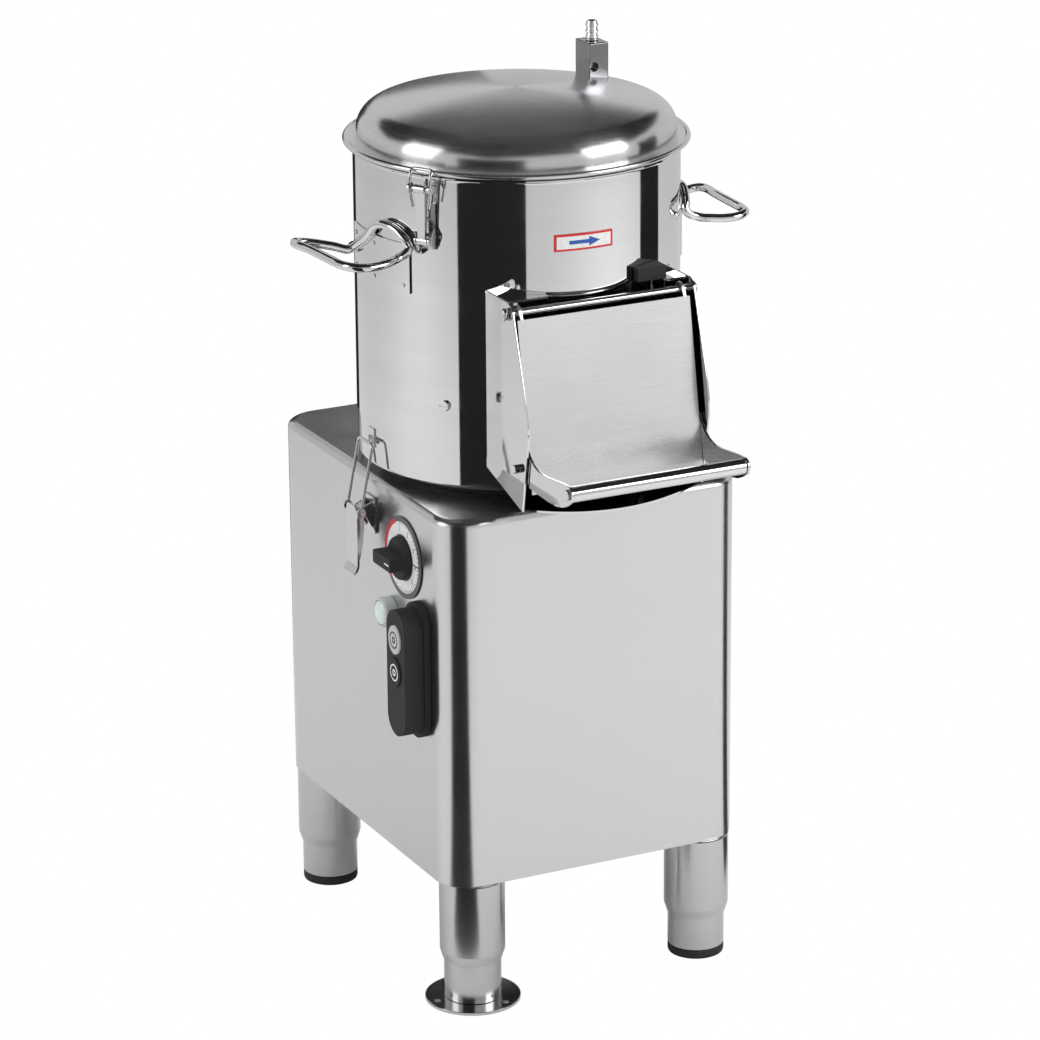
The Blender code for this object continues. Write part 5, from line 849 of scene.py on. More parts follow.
class PEELER_OT_handles(bpy.types.Operator):
    """Two bent-rod carrying handles on riveted plates"""

    bl_idname = "peeler.handles"
    bl_label = "Handles"

    def execute(self, context):
        """Models both handles."""
        radius = context.scene.peeler_drum.rivet_radius / MM
        outer = list(zip(
            (150, 163, 176, 188, 197, 201.5, 203, 204.5, 206, 208, 206.5, 199, 186, 167, 150),
            (-92, -98, -102, -102, -96, -85, -68, -40, -20, -4, 5, 11, 13, 12, 9),
            (691, 689.5, 689, 689.5, 690, 690, 690, 690, 690, 689.5, 689, 687, 684, 679, 675)))
        azimuths = (103, 98, 92, 87.5, 84.5, 82, 79, 75.5, 72, 69, 66.5, 65)
        heights = (677, 682, 690, 697, 704, 710, 713.5, 714.5, 713.5, 710, 705, 698)
        for side, word in ((-1, "left"), (1, "right")):
            points = [(side * x, y + SHIFT_Y, z) for x, y, z in outer]
            for azimuth, height in zip(azimuths, heights):
                points.append(on_drum(side * azimuth, 153.2, height))
            rod = wire("rod", points, 4, cyclic=True, smooth=True, steps=10)
            columns = []
            for height in (655, 656, 699, 700):
                row = []
                for step in range(25):
                    azimuth = side * (66 + 38 * step / 24)
                    row.append(on_drum(azimuth, 149.05, height))
                columns.append(row)
            base = sheet_strip("plate", columns, 1.45)
            parts = [rod, base]
            for share in (-0.84, 0, 0.84):
                for row in (0.18, 0.85):
                    azimuth = side * (85 + 19 * share)
                    height = 700 - 45 * row
                    head = disc("rivet", radius, 1.0, (150.2, 0, 0), "X", 0.45, 24)
                    only(head)
                    bpy.ops.transform.translate(value=(0, 0, height * MM))
                    bpy.ops.object.transform_apply(location=True, rotation=True, scale=True)
                    parts.append(swung(head, azimuth, 0))
            handle = joined("carry_" + word, *parts)
            done(handle, "drum", ["handle_" + word], polished_steel(), 40)
        return {"FINISHED"}


class PEELER_OT_chute(bpy.types.Operator):
    """Chute with cheeks, sloped floor, lip, flanges and top plates"""

    bl_idname = "peeler.chute"
    bl_label = "Chute"

    def execute(self, context):
        """Models the chute."""
        side_view = [
            (-144.3, 504), (-214.6, 482.4), (-226.6, 550.6), (-225.6, 566), (-222.1, 581), (-198.1, 658),
            (-195.5, 663.5), (-188.6, 667), (-144.3, 667)]
        parts = []
        for side in (-1, 1):
            x = 88.7 if side > 0 else -90.7
            outline = [(x, y + SHIFT_Y, z) for y, z in side_view]
            parts.append(plate("cheek", outline, (2, 0, 0), 0.45, 2))
            flange_rows = []
            for height in (513, 514, 664, 665):
                row = []
                for step in range(9):
                    azimuth = side * (37.0 + 4.6 * step / 8)
                    row.append(on_drum(azimuth, 149.1, height))
                flange_rows.append(row)
            parts.append(sheet_strip("flange", flange_rows, 1.8))
            parts.append(disc("stud", 4, 5.6, (side * 93, -207.6 + SHIFT_Y, 520.6), "X", 0.7, 40))
        floor_rows = []
        for row in range(17):
            share = row / 16
            line = []
            for step in range(25):
                x = -88.9 + 177.8 * step / 24
                back = DRUM_OWN_Y - math.sqrt(146.5 ** 2 - x ** 2)
                front = DRUM_OWN_Y - math.sqrt(207.9 ** 2 - x ** 2)
                y = back + (front - back) * share
                z = 504 - 21.6 * (-143.6 - y) / 71.0
                if y > -143.6:
                    z = 504
                line.append((x, y + SHIFT_Y, z + 1))
            floor_rows.append(line)
        parts.append(sheet_strip("floor", floor_rows, 2))
        for side in (-1, 1):
            inner = 74.4 if side > 0 else 43
            reach = [
                (side * inner, -174 + SHIFT_Y, 661), (side * 88.8, -174 + SHIFT_Y, 661),
                (side * 88.8, -144.5 + SHIFT_Y, 661)]
            for step in range(9):
                x = 88.8 - (88.8 - inner) * step / 8
                reach.append((side * x, DRUM_OWN_Y - math.sqrt(148.4 ** 2 - x ** 2) + SHIFT_Y, 661))
            parts.append(plate("top_plate", reach, (0, 0, 2)))
        chute = joined("chute_body", *parts)
        done(chute, "drum", ["chute"], polished_steel(), 35)
        rod = disc("rod", 3.5, 192, (0, HINGE_Y + SHIFT_Y, HINGE_Z), "X", 0.6, 48)
        nuts = []
        for side in (-1, 1):
            nuts.append(disc("nut", 6, 4.6, (side * 93.4, HINGE_Y + SHIFT_Y, HINGE_Z), "X", 1.6, 48))
        hinge = joined("hinge_bar", rod, *nuts)
        done(hinge, "drum", ["hinge_rod"], plated_steel(), 35)
        return {"FINISHED"}


class PEELER_OT_door(bpy.types.Operator):
    """Chute door with its ears, arms and handle bar"""

    bl_idname = "peeler.door"
    bl_label = "Door"

    def execute(self, context):
        """Models the door."""
        hinge = (HINGE_Y, HINGE_Z)
        top = (-196.95, 652)
        bottom = (-223.95, 500)
        rows = []
        for share in (0.0, 0.01, 0.25, 0.5, 0.75, 0.99, 1.0):
            y = top[0] + (bottom[0] - top[0]) * share
            z = top[1] + (bottom[1] - top[1]) * share
            row = []
            for step in range(13):
                x = -85.2 + 170.4 * step / 12
                row.append((x, y + 0.98 + SHIFT_Y, z - 0.17))
            rows.append(row)
        panel = sheet_strip("panel", rows, 2)
        parts = [panel]
        for side in (-1, 1):
            x = 79.2 if side > 0 else -82.2
            outline = arc(hinge, 7, -35, 155, 14) + [(-196.6, 652.4), (-199.5, 637.5), (-192.2, 650.6)]
            ear = plate("ear", [(x, y + SHIFT_Y, z) for y, z in outline], (3, 0, 0), 0.3, 2)
            boolean(ear, disc("cutter", 3.85, 8, (side * 80.7, hinge[0] + SHIFT_Y, hinge[1]), "X"))
            parts.append(ear)
        door = joined("door_sheet", *parts)
        done(door, "door", ["door_panel"], door_steel(), 35)
        for side, word in ((-1, "left"), (1, "right")):
            x = 85.55 if side > 0 else -87.95
            crest = [(-213.4, 548), (-218, 541), (-224, 534.5), (-232, 529.3), (-242, 526.5), (-256, 526.6),
                     (-272, 528.3), (-286, 529.8), (-294, 529.9)]
            nose = arc((BAR_Y, BAR_Z), 8, 80, 235, 14)
            belly = [(-295.5, 511.5), (-286, 507.3), (-276, 505.3), (-266.95, 504.7), (-256, 504.9),
                     (-240, 505.6), (-221.6, 506.8)]
            outline = [(x, y + SHIFT_Y, z) for y, z in crest + nose + belly]
            arm = plate("arm_plate", outline, (2.4, 0, 0), 0.4, 2)
            bolt = disc("bolt", 5, 2.4, (side * 88.9, BAR_Y + SHIFT_Y, BAR_Z), "X", 0.7, 40)
            arm = joined("arm_" + word, arm, bolt)
            done(arm, "door", ["door_arm_" + word], polished_steel(), 35)
        bar = disc("bar", 7, 170.4, (0, BAR_Y + SHIFT_Y, BAR_Z), "X", 0.5, 64)
        done(bar, "door", ["door_handle_bar"], polished_steel(), 35)
        return {"FINISHED"}


def door_steel():
    """The door's sheet."""
    return metal("door_steel", (0.86, 0.86, 0.87), 0.27, 0.02, (2, 160, 420), 10.0, 0.015)


class PEELER_OT_lid(bpy.types.Operator):
    """Domed lid with its rolled rim, seal and water inlet"""

    bl_idname = "peeler.lid"
    bl_label = "Lid"

    def execute(self, context):
        """Models the lid."""
        rings = context.scene.peeler_lid.crown_steps
        centre = (0, DRUM_Y)
        crown = 600.0
        shoulder = 24.0
        base = 778.0
        reach = 145.0 - shoulder
        crown_centre = base - math.sqrt((crown - shoulder) ** 2 - reach ** 2)
        tilt = math.degrees(math.asin(reach / (crown - shoulder)))
        outer = [(145, 771.8)]
        outer += [(reach + shoulder * math.cos(math.radians(a)), base + shoulder * math.sin(math.radians(a)))
                  for a in [(90 - tilt) * s / 10 for s in range(11)]]
        for ring in range(1, rings + 1):
            turn = math.radians(tilt * (1 - ring / (rings + 0.25)))
            outer.append((crown * math.sin(turn), crown_centre + crown * math.cos(turn)))
        inner = [(r, z) for r, z in reversed(outer)]
        thick = 1.8
        inside = []
        for r, z in inner:
            away = Vector((r - reach, max(z - base, 0.0)))
            if r < reach:
                away = Vector((r, z - crown_centre))
            away.normalize()
            inside.append((max(r - away.x * thick, 0.5), z - away.y * thick))
        inside[-1] = (143.2, 770)
        bead = [(154.5 + 2.5 * math.cos(math.radians(a)), 770.9 + 2.5 * math.sin(math.radians(a)))
                for a in range(-150, 151, 20)]
        under = list(reversed(inside[:-1]))
        profile = under + [(143.2, 770)] + bead + outer
        dome = turned("dome", profile, centre, 192, closed=False)
        done(dome, "lid", ["lid_dome"], lid_steel(), 35)
        profile = [(147.5, 767.35), (151.9, 767.35), (151.9, 769.65), (147.5, 769.65)]
        seal = turned("seal", profile, centre, 128)
        done(seal, "lid", ["lid_seal"], rubber(), 35)
        low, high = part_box("inlet_block")
        size = [(b - a) / MM for a, b in zip(low, high)]
        middle = [(a + b) / 2 / MM for a, b in zip(low, high)]
        body = block("inlet", size, middle, 1.2, 3)
        port = disc("cutter", 4.5, 12, (95, low[1] / MM, port_height()), "Y")
        boolean(body, port)
        bore = disc("cutter", 4, 20, (middle[0], middle[1], high[2] / MM), "Z", steps=32)
        boolean(body, bore)
        # The inlet block's plating is darkened in colour: a painted dark reflection.
        done(body, "lid", ["inlet_block"], reflection_darkened_plate(), 35)
        low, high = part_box("hose_barb")
        middle = [(a + b) / 2 / MM for a, b in zip(low, high)]
        bottom = low[2] / MM
        top = high[2] / MM
        rise = (top - bottom - 1.5) / 3
        profile = [(3.4, bottom), (5.6, bottom), (6, bottom + 0.4), (6, bottom + 1.6)]
        for ring in range(3):
            z = bottom + 1.6 + ring * (rise - 0.05)
            profile += [(4.7, z + 0.1), (6.0, z + 0.9), (5.9, z + 1.3), (4.75, z + rise - 0.3)]
        profile += [(4.6, top), (3.4, top)]
        barb = turned("barb", profile, (middle[0], middle[1]), 48)
        done(barb, "lid", ["hose_barb"], plated_steel(), 35)
        return {"FINISHED"}


def port_height():
    """Height of the inlet block's front port in millimetres."""
    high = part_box("inlet_block")[1][2] / MM
    return high - 33 + 11


def reflection_darkened_plate():
    """The inlet block's plating, its colour darkened as a painted reflection of the dark surroundings."""
    return metal("reflection_darkened_plate", (0.30, 0.30, 0.31), 0.14, 0.03, (4, 4, 4), 60.0, 0.05)


def lid_steel():
    """The lid's sheet, brushed round its middle."""
    material, tree = new_material("lid_steel")
    if tree is None:
        return material
    shader = tree.nodes["Principled BSDF"]
    shader.inputs["Metallic"].default_value = 1.0
    coordinates = tree.nodes.new("ShaderNodeTexCoord")
    mapping = tree.nodes.new("ShaderNodeMapping")
    mapping.inputs["Location"].default_value = (0, -DRUM_Y * MM, 0)
    apart = tree.nodes.new("ShaderNodeSeparateXYZ")
    tree.links.new(coordinates.outputs["Object"], mapping.inputs["Vector"])
    tree.links.new(mapping.outputs["Vector"], apart.inputs["Vector"])
    flat = tree.nodes.new("ShaderNodeCombineXYZ")
    tree.links.new(apart.outputs["X"], flat.inputs["X"])
    tree.links.new(apart.outputs["Y"], flat.inputs["Y"])
    radius = tree.nodes.new("ShaderNodeVectorMath")
    radius.operation = "LENGTH"
    tree.links.new(flat.outputs["Vector"], radius.inputs[0])
    turn = tree.nodes.new("ShaderNodeMath")
    turn.operation = "ARCTAN2"
    tree.links.new(apart.outputs["Y"], turn.inputs[0])
    tree.links.new(apart.outputs["X"], turn.inputs[1])
    ring = tree.nodes.new("ShaderNodeCombineXYZ")
    tree.links.new(radius.outputs["Value"], ring.inputs["X"])
    scaled = tree.nodes.new("ShaderNodeMath")
    scaled.operation = "MULTIPLY"
    scaled.inputs[1].default_value = 0.006
    tree.links.new(turn.outputs[0], scaled.inputs[0])
    tree.links.new(scaled.outputs[0], ring.inputs["Y"])
    grain = tree.nodes.new("ShaderNodeTexNoise")
    grain.inputs["Scale"].default_value = 900.0
    grain.inputs["Detail"].default_value = 3.0
    tree.links.new(ring.outputs["Vector"], grain.inputs["Vector"])
    tree.links.new(tinted(tree, grain.outputs["Fac"], (0.70, 0.70, 0.71), (0.76, 0.76, 0.77)),
                   shader.inputs["Base Color"])
    tree.links.new(ranged(tree, grain.outputs["Fac"], 0.17, 0.25), shader.inputs["Roughness"])
    tree.links.new(bumped(tree, grain.outputs["Fac"], 0.05, 0.0002), shader.inputs["Normal"])
    shader.inputs["Anisotropic"].default_value = 0.85
    shader.inputs["Anisotropic Rotation"].default_value = 0.25
    tangent = tree.nodes.new("ShaderNodeTangent")
    tangent.direction_type = "RADIAL"
    tangent.axis = "Z"
    tree.links.new(tangent.outputs["Tangent"], shader.inputs["Tangent"])
    return material


class PEELER_OT_controls(bpy.types.Operator):
    """Timer dial with its numbers and knob, pilot lamp and the switch box's two buttons"""

    bl_idname = "peeler.controls"
    bl_label = "Controls"

    def execute(self, context):
        """Models what is on the left wall."""
        wall = -CABINET_HALF_X
        y = -95 + SHIFT_Y
        z = 413
        plate_disc = disc("dial_plate", 38, 1.2, (wall - 0.9, y, z), "X", 0.3, 128)
        painted(plate_disc, grey_print())
        clear_selection()

        def ring_piece(name, inner, outer, start, end, lift, paint):
            """A printed ring sector on the dial."""
            steps = max(8, int(abs(end - start) / 4))
            inside = arc((y, z), inner, start, end, steps)
            outside = arc((y, z), outer, end, start, steps)
            piece = plate(name, [(lift, a, b) for a, b in inside + outside], (-0.12, 0, 0))
            painted(piece, paint)
            return piece

        pieces = [plate_disc]
        pieces.append(ring_piece("field_a", 21.5, 33, -178, 60, wall - 1.4, white_print()))
        pieces.append(ring_piece("field_b", 21.5, 33, 60, 179, wall - 1.4, white_print()))
        pieces.append(ring_piece("sector", 32.2, 36, -48, 66, wall - 1.46, red_print()))
        for step in range(31):
            degrees = 78 + 7.2 * step
            reach = 29.4 if step % 5 == 0 else 30.6
            pieces.append(ring_piece(
                "tick", reach, 32.6, degrees - 0.7, degrees + 0.7, wall - 1.46, black_plastic()))
        for step, word in enumerate(("1", "2", "3", "4", "5")):
            turn = math.radians(102 - 36 * step)
            clear_selection()
            bpy.ops.object.text_add(location=(0, 0, 0))
            text = bpy.context.object
            text.data.body = word
            text.data.size = 6.0 * MM
            text.data.align_x = "CENTER"
            text.data.align_y = "CENTER"
            text.data.extrude = 0.05 * MM
            bpy.ops.object.convert(target="MESH")
            text = bpy.context.object
            text.rotation_euler = (math.radians(90), 0, math.radians(-90))
            text.location = (
                (wall - 1.52) * MM, (y - 26.2 * math.cos(turn)) * MM, (z + 26.2 * math.sin(turn)) * MM)
            apply_place(text)
            painted(text, black_plastic())
            pieces.append(text)
        dial = joined("dial", *pieces)
        done(dial, "cabinet", ["timer_dial"], None, 30)
        profile = [(5, 0), (20.2, 0), (20.5, 0.3), (20.5, 1.2), (19.6, 4.6), (18.6, 5.7), (17.2, 6), (5, 6)]
        skirt = turned("skirt", profile, (0, 0), 96)
        grip = plate("grip", [
            (a, b, 4.5) for a, b in rounded_rectangle(18.6, 6.5, 2.2, 6)], (0, 0, 16.2), 1.2, 4)
        mark = block("mark", (9, 1.3, 0.5), (-11.5, 0, 20.7))
        painted(mark, white_print())
        for part in (skirt, grip):
            painted(part, black_plastic())
        knob = joined("knob", skirt, grip, mark)
        knob.rotation_euler = (0, math.radians(-90), 0)
        apply_place(knob)
        bpy.ops.transform.rotate(value=math.radians(90), orient_axis="X", center_override=(0, 0, 0))
        bpy.ops.object.transform_apply(location=True, rotation=True, scale=True)
        low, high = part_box("timer_knob")
        bpy.ops.transform.translate(value=(low.x + 20.95 * MM, y * MM, z * MM))
        done(knob, "timer_knob", ["timer_knob"], None, 35)

        def toward_wall(obj, place_y, place_z, lift):
            """Turns a piece modelled upright to stand out from the left wall."""
            only(obj)
            bpy.ops.transform.rotate(value=math.radians(90), orient_axis="Y", center_override=(0, 0, 0))
            bpy.ops.object.transform_apply(location=True, rotation=True, scale=True)
            if max(v.co.x for v in obj.data.vertices) > 0.001:
                bpy.ops.transform.mirror(orient_type="GLOBAL", constraint_axis=(True, False, False),
                                         center_override=(0, 0, 0))
                bpy.ops.object.transform_apply(location=True, rotation=True, scale=True)
            bpy.ops.transform.translate(value=((wall - lift) * MM, place_y * MM, place_z * MM))
            bpy.ops.object.transform_apply(location=True, rotation=True, scale=True)
            outward(obj)

        for word, paint, ring_paint in (
                ("start", grey_plastic(), black_plastic()), ("stop", black_plastic(), white_print())):
            low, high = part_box(word + "_button")
            face = low.x / MM
            middle_y = (low.y + high.y) / 2 / MM
            middle_z = (low.z + high.z) / 2 / MM
            outline = []
            for step in range(48):
                turn = math.radians(7.5 * step)
                outline.append((face, middle_y + 11.5 * math.cos(turn), middle_z + 13.5 * math.sin(turn)))
            pad = plate("pad", outline, (8, 0, 0), 0.8, 3)
            painted(pad, paint)
            parts = [pad]
            for inner, outer in ((6.6, 8.0), (1.6, 3.2)):
                inside = arc((middle_y, middle_z), inner, 0, 354, 40)
                outside = arc((middle_y, middle_z), outer, 354, 0, 40)
                ring = plate("ring", [(face, a, b) for a, b in inside + outside], (-0.1, 0, 0))
                painted(ring, ring_paint)
                parts.append(ring)
            button = joined("push_" + word, *parts)
            done(button, word + "_button", [word + "_button"], None, 35)
        profile = [(11.6, 0), (13.8, 0), (14, 0.3), (14, 9.5), (13.2, 11.2), (12, 12), (11.6, 11.4)]
        bezel = turned("bezel", profile, (0, 0), 72)
        toward_wall(bezel, -67 + SHIFT_Y, 353, 0.15)
        done(bezel, "cabinet", ["lamp_bezel"], bezel_plastic(), 35)
        profile = [(11.4, 2), (11.4, 11.0), (10.6, 12.2), (8.8, 13.4), (6, 14.2), (3, 14.5), (0.4, 14.55)]
        lens = turned("lens", profile, (0, 0), 72, closed=False)
        toward_wall(lens, -67 + SHIFT_Y, 353, 0.0)
        done(lens, "cabinet", ["lamp_lens"], lens_green(), 35)
        return {"FINISHED"}


class PEELER_OT_lid_latches(bpy.types.Operator):
    """Over-centre latches that hold the lid: base, lever and wire hook, front and back"""

    bl_idname = "peeler.lid_latches"
    bl_label = "Lid latches"

    def execute(self, context):
        """Models one latch and copies it to the back."""
        for azimuth, word in ((-58.0, "front"), (122.0, "back")):
            for part, body, node in (
                    (latch_base(), "drum", "lid_latch_base_"),
                    (latch_lever(), "lid_lever_" + word, "lid_latch_lever_"),
                    (latch_hook(), "lid_hook_" + word, "lid_latch_hook_")):
                done(swung(part, azimuth, 0), body, [node + word], plated_steel(), 35)
        return {"FINISHED"}


def latch_lever():
    """The lid latch's lever, a tapering channel with its knuckle and roller, x pointing outward."""
    def half_width(height):
        """Half the lever's width."""
        return 3.7 + (height - LID_PIVOT[1]) * 0.04

    def face_x(height):
        """How far out the lever's face is."""
        return 159 + (height - LID_PIVOT[1]) / 24

    low, high = 711.5, 756.0
    corners = ((low, -1), (low, 1), (high, 1), (high, -1))
    face = [(face_x(z), side * half_width(z), z) for z, side in corners]
    parts = [plate("face", face, (1.6, 0, 0), 0.4, 2)]
    for side in (-1, 1):
        edge = [(face_x(z) + push, side * half_width(z), z)
                for z, push in ((low, -1.4), (low, 1.5), (high, 1.5), (high, -2.8))]
        parts.append(plate("flange", edge, (0, -1.2 * side, 0), 0.3, 2))
    roller = (LID_ROLLER[0], 0, LID_ROLLER[1])
    parts.append(disc("knuckle", 4, 11.2, (LID_PIVOT[0], 0, LID_PIVOT[1]), "Y", 0.5, 40))
    parts.append(disc("barrel", 4, 11.3, roller, "Y", 0.6, 40))
    parts.append(disc("roller", 2, 24.6, roller, "Y", 0.6, 32))
    return joined("latch_lever", *parts)


def latch_hook():
    """The lid latch's wire hook with its two washers, x pointing outward."""
    half = LID_WIRE_HALF
    left = [
        (161, -8.2, 740), (161.4, -10.4, 750), (161.75, -half, 757), (161.75, -half, 767.9),
        (157.54, -half, 773.9)]
    right = [(x, -y, z) for x, y, z in reversed(left)]
    parts = [wire("hook", eased(left + right, 3.4), WIRE_RADIUS, steps=6)]
    for side in (-1, 1):
        parts.append(disc("washer", 4.6, 2.4, (LID_ROLLER[0], side * half, LID_ROLLER[1]), "Y", 0.4, 40))
    return joined("latch_hook", *parts)


def latch_base():
    """The lid latch's riveted base with its two ears, x pointing outward."""
    rows = []
    for height in (700, 701, 741, 742):
        row = []
        for step in range(9):
            turn = math.asin((-8 + 16 * step / 8) / 149.3)
            row.append((149.25 * math.cos(turn), 149.25 * math.sin(turn), height))
        rows.append(row)
    back = sheet_strip("back", rows, 1.8)
    parts = [back]
    for side in (-1, 1):
        y = side * 7 - 1
        outline = [(149.6, 700.6), (154, 701.6), *arc(LID_PIVOT, 4, -90, 80, 10), (152, 720), (149.6, 722)]
        parts.append(plate("ear", [(x, y, z) for x, z in outline], (0, 2, 0), 0.3, 2))
    parts.append(disc("pin", 2, 17.6, (LID_PIVOT[0], 0, LID_PIVOT[1]), "Y", 0.4, 24))
    for height in (727, 737):
        parts.append(disc("rivet", 2.0, 1.0, (150.6, 0, height), "X", 0.4, 24))
    return joined("latch_base", *parts)


class PEELER_OT_drum_latches(bpy.types.Operator):
    """Latches that hold the drum down: bracket, lever and wire bail, left and right"""

    bl_idname = "peeler.drum_latches"
    bl_label = "Drum latches"

    def execute(self, context):
        """Models both latches."""
        for azimuth, word in ((-90.0, "left"), (90.0, "right")):
            for part, body, node in (
                    (drum_latch_bracket(), "cabinet", "drum_latch_base_"),
                    (drum_latch_lever(), "drum_lever_" + word, "drum_latch_lever_"),
                    (drum_latch_bail(), "drum_bail_" + word, "drum_latch_bail_")):
                done(swung(part, azimuth, 0), body, [node + word], plated_steel(), 35)
        return {"FINISHED"}


def drum_latch_bracket():
    """The screwed bracket on the cabinet wall with its ears and pin, x pointing outward."""
    outline = [(150.2, y, 434.5 + z) for y, z in rounded_rectangle(12, 17.5, 3, 5)]
    parts = [plate("back", outline, (1.9, 0, 0), 0.4, 2)]
    for side in (-1, 1):
        y = side * 7 - 1
        edge = [(151.2, 419.5), *arc(DRUM_PIVOT, 3.9, -62, 86, 12), (151.2, 448)]
        parts.append(plate("ear", [(x, y, z) for x, z in edge], (0, 2, 0), 0.3, 2))
        for height in (422.5, 446.5):
            parts.append(disc("screw", 2.1, 1.2, (152.4, side * 9.6, height), "X", 0.5, 24))
    parts.append(disc("pin", 2, 15, (DRUM_PIVOT[0], 0, DRUM_PIVOT[1]), "Y", 0.4, 24))
    return joined("latch_bracket", *parts)


def drum_latch_lever():
    """The drum latch's pressed lever with its knuckle and crank pin, x pointing outward."""
    sizes = []
    for step in range(7):
        turn = math.radians(15 * step)
        sizes.append((169, 5 + 7 * math.sin(turn), 438.9 + 7 * math.cos(turn)))
    sizes += [(169, 12, 425), (169, 11.9, 410), (169, 11.7, 396), (169.05, 11.6, 390), (169.4, 11.6, 387.8),
              (170.3, 11.6, 385.6), (171.8, 11.5, 383.4), (173.4, 11.2, 381.6)]
    rows = []
    for x, half, height in sizes:
        rows.append([(x, half * step / 4, height) for step in range(-4, 5)])
    parts = [sheet_strip("blade", rows, 2)]
    for side in (-1, 1):
        edge = [
            (168.8, 441), (168.8, 394), (167.2, 397), (164.4, 412), (162.6, 430), (162.6, 438), (164, 441)]
        parts.append(plate("flange", [(x, side * 12, z) for x, z in edge], (0, -1.4 * side, 0), 0.3, 2))
    height = DRUM_PIVOT[1]
    parts.append(disc("knuckle", 4, 11.2, (DRUM_PIVOT[0], 0, height), "Y", 0.5, 40))
    parts.append(block("web", (8, 11, 4), (164.5, 0, height), 0.5, 2))
    parts.append(disc("crank", 2, 33, (CRANK_X, 0, height), "Y", 0.5, 32))
    return joined("latch_lever", *parts)


def drum_latch_bail():
    """The drum latch's wire bail with its two lugs, x pointing outward."""
    height = DRUM_PIVOT[1]
    bar_x, bar_z = BAIL_BAR
    points = [
        (CRANK_X, -BAIL_HALF, height), (bar_x, -BAIL_HALF, bar_z), (bar_x, BAIL_HALF, bar_z),
        (CRANK_X, BAIL_HALF, height)]
    parts = [wire("bail", eased(points, 4.5), WIRE_RADIUS, steps=6)]
    for side in (-1, 1):
        parts.append(disc("lug", 4.5, 3, (CRANK_X, side * BAIL_HALF, height), "Y", 0.5, 40))
    return joined("latch_bail", *parts)


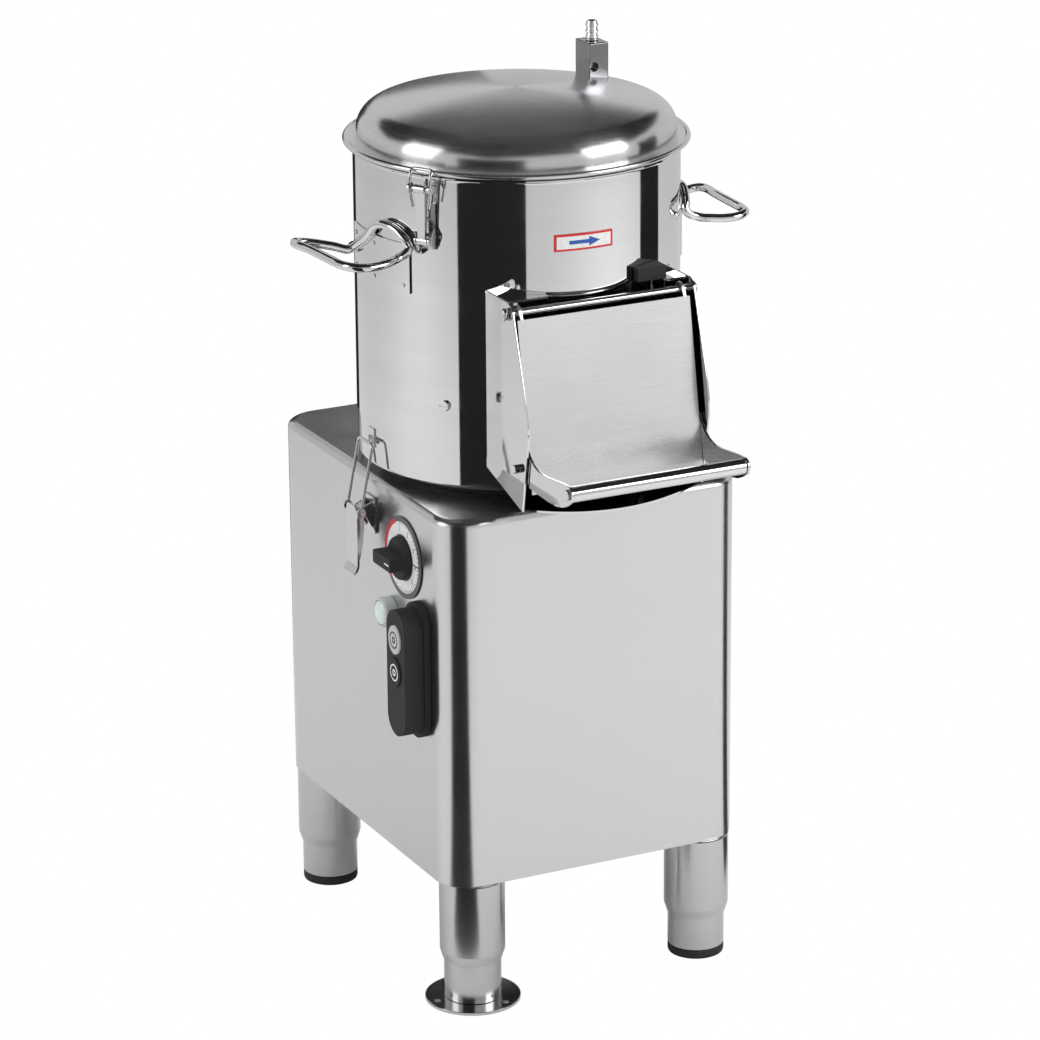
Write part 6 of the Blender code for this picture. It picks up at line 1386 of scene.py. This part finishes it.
class PEELER_OT_stage(bpy.types.Operator):
    """Floor, light, dark cards and the camera at the photograph's place"""

    bl_idname = "peeler.stage"
    bl_label = "Stage"

    def execute(self, context):
        """Sets the stage."""
        group = context.scene.peeler_stage
        clear_selection()
        bpy.ops.mesh.primitive_plane_add(size=16, location=(0, 0, -0.0005))
        floor = bpy.context.object
        floor.name = "stage_floor"
        material = bpy.data.materials.new("stage_floor")
        material.use_nodes = True
        tree = material.node_tree
        shader = tree.nodes["Principled BSDF"]
        shader.inputs["Base Color"].default_value = (0.80, 0.80, 0.80, 1)
        shader.inputs["Roughness"].default_value = 0.9
        glow = tree.nodes.new("ShaderNodeEmission")
        glow.inputs["Color"].default_value = (1, 1, 1, 1)
        glow.inputs["Strength"].default_value = 1.0
        ray = tree.nodes.new("ShaderNodeLightPath")
        mix = tree.nodes.new("ShaderNodeMixShader")
        tree.links.new(ray.outputs["Is Camera Ray"], mix.inputs["Fac"])
        tree.links.new(shader.outputs["BSDF"], mix.inputs[1])
        tree.links.new(glow.outputs["Emission"], mix.inputs[2])
        tree.links.new(mix.outputs["Shader"], tree.nodes["Material Output"].inputs["Surface"])
        floor.data.materials.append(material)

        world = bpy.data.worlds.new("studio")
        context.scene.world = world
        world.use_nodes = True
        tree = world.node_tree
        back = tree.nodes["Background"]
        back.inputs["Color"].default_value = (1, 1, 1, 1)
        back.inputs["Strength"].default_value = group.world_strength
        clean = tree.nodes.new("ShaderNodeBackground")
        clean.inputs["Color"].default_value = (1, 1, 1, 1)
        clean.inputs["Strength"].default_value = 1.0
        ray = tree.nodes.new("ShaderNodeLightPath")
        mix = tree.nodes.new("ShaderNodeMixShader")
        tree.links.new(ray.outputs["Is Camera Ray"], mix.inputs["Fac"])
        tree.links.new(back.outputs["Background"], mix.inputs[1])
        tree.links.new(clean.outputs["Background"], mix.inputs[2])
        tree.links.new(mix.outputs["Shader"], tree.nodes["World Output"].inputs["Surface"])

        black = bpy.data.materials.new("stage_black")
        black.use_nodes = True
        shader = black.node_tree.nodes["Principled BSDF"]
        shader.inputs["Base Color"].default_value = (0.01, 0.01, 0.01, 1)
        shader.inputs["Roughness"].default_value = 1.0

        def card(name, places):
            """A dark card that only reflections meet, from four corners in metres."""
            clear_selection()
            bpy.ops.mesh.primitive_plane_add(size=1)
            obj = bpy.context.object
            obj.name = name
            for vertex, place in zip(obj.data.vertices, places):
                vertex.co = place
            obj.data.materials.append(black)
            obj.visible_camera = False
            obj.visible_diffuse = False
            obj.visible_shadow = False
            return obj

        def around(degrees, distance, height):
            """A place about the object, its azimuth taken from the camera's, + to the right."""
            turn = math.radians(degrees + CAMERA_YAW)
            return (distance * math.sin(turn), 0.03 - distance * math.cos(turn), height)

        for word, start, end in (("front", -40, 6), ("right", 92, 113)):
            card("stage_floor_card_" + word, (
                around(start, 0.34, 0.002), around(end, 0.34, 0.002),
                around(start, 1.6, 0.002), around(end, 1.6, 0.002)))
            card("stage_card_" + word, (
                around(start, 1.5, 0.002), around(end, 1.5, 0.002),
                around(start, 1.5, 1.1), around(end, 1.5, 1.1)))

        card("stage_ceiling_card", ((-3, -3, 2.3), (3, -3, 2.3), (-3, 3, 2.3), (3, 3, 2.3)))
        card("stage_floor_card_edge", (
            around(-178, 0.34, 0.002), around(-150, 0.34, 0.002),
            around(-178, 1.6, 0.002), around(-150, 1.6, 0.002)))
        card("stage_card_edge", (
            around(-178, 1.5, 0.002), around(-152, 1.5, 0.002),
            around(-178, 1.5, 1.0), around(-152, 1.5, 1.0)))

        def lamp(name, place, aim, size, energy):
            """A soft rectangular light."""
            clear_selection()
            bpy.ops.object.light_add(type="AREA", location=place)
            obj = bpy.context.object
            obj.name = name
            obj.data.shape = "RECTANGLE"
            obj.data.size = size[0]
            obj.data.size_y = size[1]
            obj.data.energy = energy
            way = Vector(aim) - Vector(place)
            obj.rotation_euler = way.to_track_quat("-Z", "Y").to_euler()
            return obj

        lamp("stage_key", (1.7, -1.9, 1.9), (0, 0, 0.45), (1.6, 1.6), 34)
        lamp("stage_fill", (-2.4, 0.4, 1.5), (0, 0, 0.45), (1.2, 1.8), 12)
        lamp("stage_top", (0.1, 0.3, 2.6), (0, 0, 0.4), (1.8, 1.8), 22)

        clear_selection()
        bpy.ops.object.camera_add(location=CAMERA_PLACE)
        camera = bpy.context.object
        camera.name = "photo_camera"
        turn = Matrix.Rotation(math.radians(CAMERA_YAW), 3, "Z")
        turn = turn @ Matrix.Rotation(math.radians(CAMERA_TILT), 3, "X")
        turn = turn @ Matrix.Rotation(math.radians(CAMERA_ROLL), 3, "Z")
        camera.rotation_euler = turn.to_euler()
        camera.data.lens = group.lens_length
        camera.data.sensor_width = 36.0
        camera.data.clip_end = 50.0
        context.scene.camera = camera
        context.scene.view_settings.view_transform = "Standard"
        return {"FINISHED"}


GROUPS = (
    PEELER_OT_paint_frame,
    PEELER_OT_cabinet,
    PEELER_OT_legs,
    PEELER_OT_drum,
    PEELER_OT_label,
    PEELER_OT_handles,
    PEELER_OT_chute,
    PEELER_OT_door,
    PEELER_OT_lid,
    PEELER_OT_controls,
    PEELER_OT_lid_latches,
    PEELER_OT_drum_latches,
    PEELER_OT_stage,
)


class PEELER_PT_panel(bpy.types.Panel):
    """Lists the peeler's settings and its operators"""

    bl_label = "Electric potato peeler"
    bl_idname = "PEELER_PT_panel"
    bl_space_type = "VIEW_3D"
    bl_region_type = "UI"
    bl_category = "Peeler"

    def draw(self, context):
        """Draws the settings and a button per group."""
        layout = self.layout
        scene = context.scene
        layout.prop(scene.peeler_cabinet, "leg_steps")
        layout.prop(scene.peeler_cabinet, "edge_round")
        layout.prop(scene.peeler_drum, "rivet_radius")
        layout.prop(scene.peeler_lid, "crown_steps")
        layout.prop(scene.peeler_stage, "world_strength")
        layout.prop(scene.peeler_stage, "lens_length")
        for group in GROUPS:
            layout.operator(group.bl_idname)


CLASSES = (
    PeelerCabinetSettings,
    PeelerDrumSettings,
    PeelerLidSettings,
    PeelerStageSettings,
    *GROUPS,
    PEELER_PT_panel,
)


def register():
    """Registers the classes and the settings."""
    for kind in CLASSES:
        bpy.utils.register_class(kind)
    bpy.types.Scene.peeler_cabinet = settings(PeelerCabinetSettings)
    bpy.types.Scene.peeler_drum = settings(PeelerDrumSettings)
    bpy.types.Scene.peeler_lid = settings(PeelerLidSettings)
    bpy.types.Scene.peeler_stage = settings(PeelerStageSettings)


def unregister():
    """Takes them away again."""
    del bpy.types.Scene.peeler_stage
    del bpy.types.Scene.peeler_lid
    del bpy.types.Scene.peeler_drum
    del bpy.types.Scene.peeler_cabinet
    for kind in reversed(CLASSES):
        bpy.utils.unregister_class(kind)


def main():
    """Builds everything in order."""
    register()
    bpy.ops.peeler.paint_frame()
    bpy.ops.peeler.cabinet()
    bpy.ops.peeler.legs()
    bpy.ops.peeler.drum()
    bpy.ops.peeler.label()
    bpy.ops.peeler.handles()
    bpy.ops.peeler.chute()
    bpy.ops.peeler.door()
    bpy.ops.peeler.lid()
    bpy.ops.peeler.controls()
    bpy.ops.peeler.lid_latches()
    bpy.ops.peeler.drum_latches()
    bpy.ops.peeler.stage()


if __name__ == "__main__":
    main()
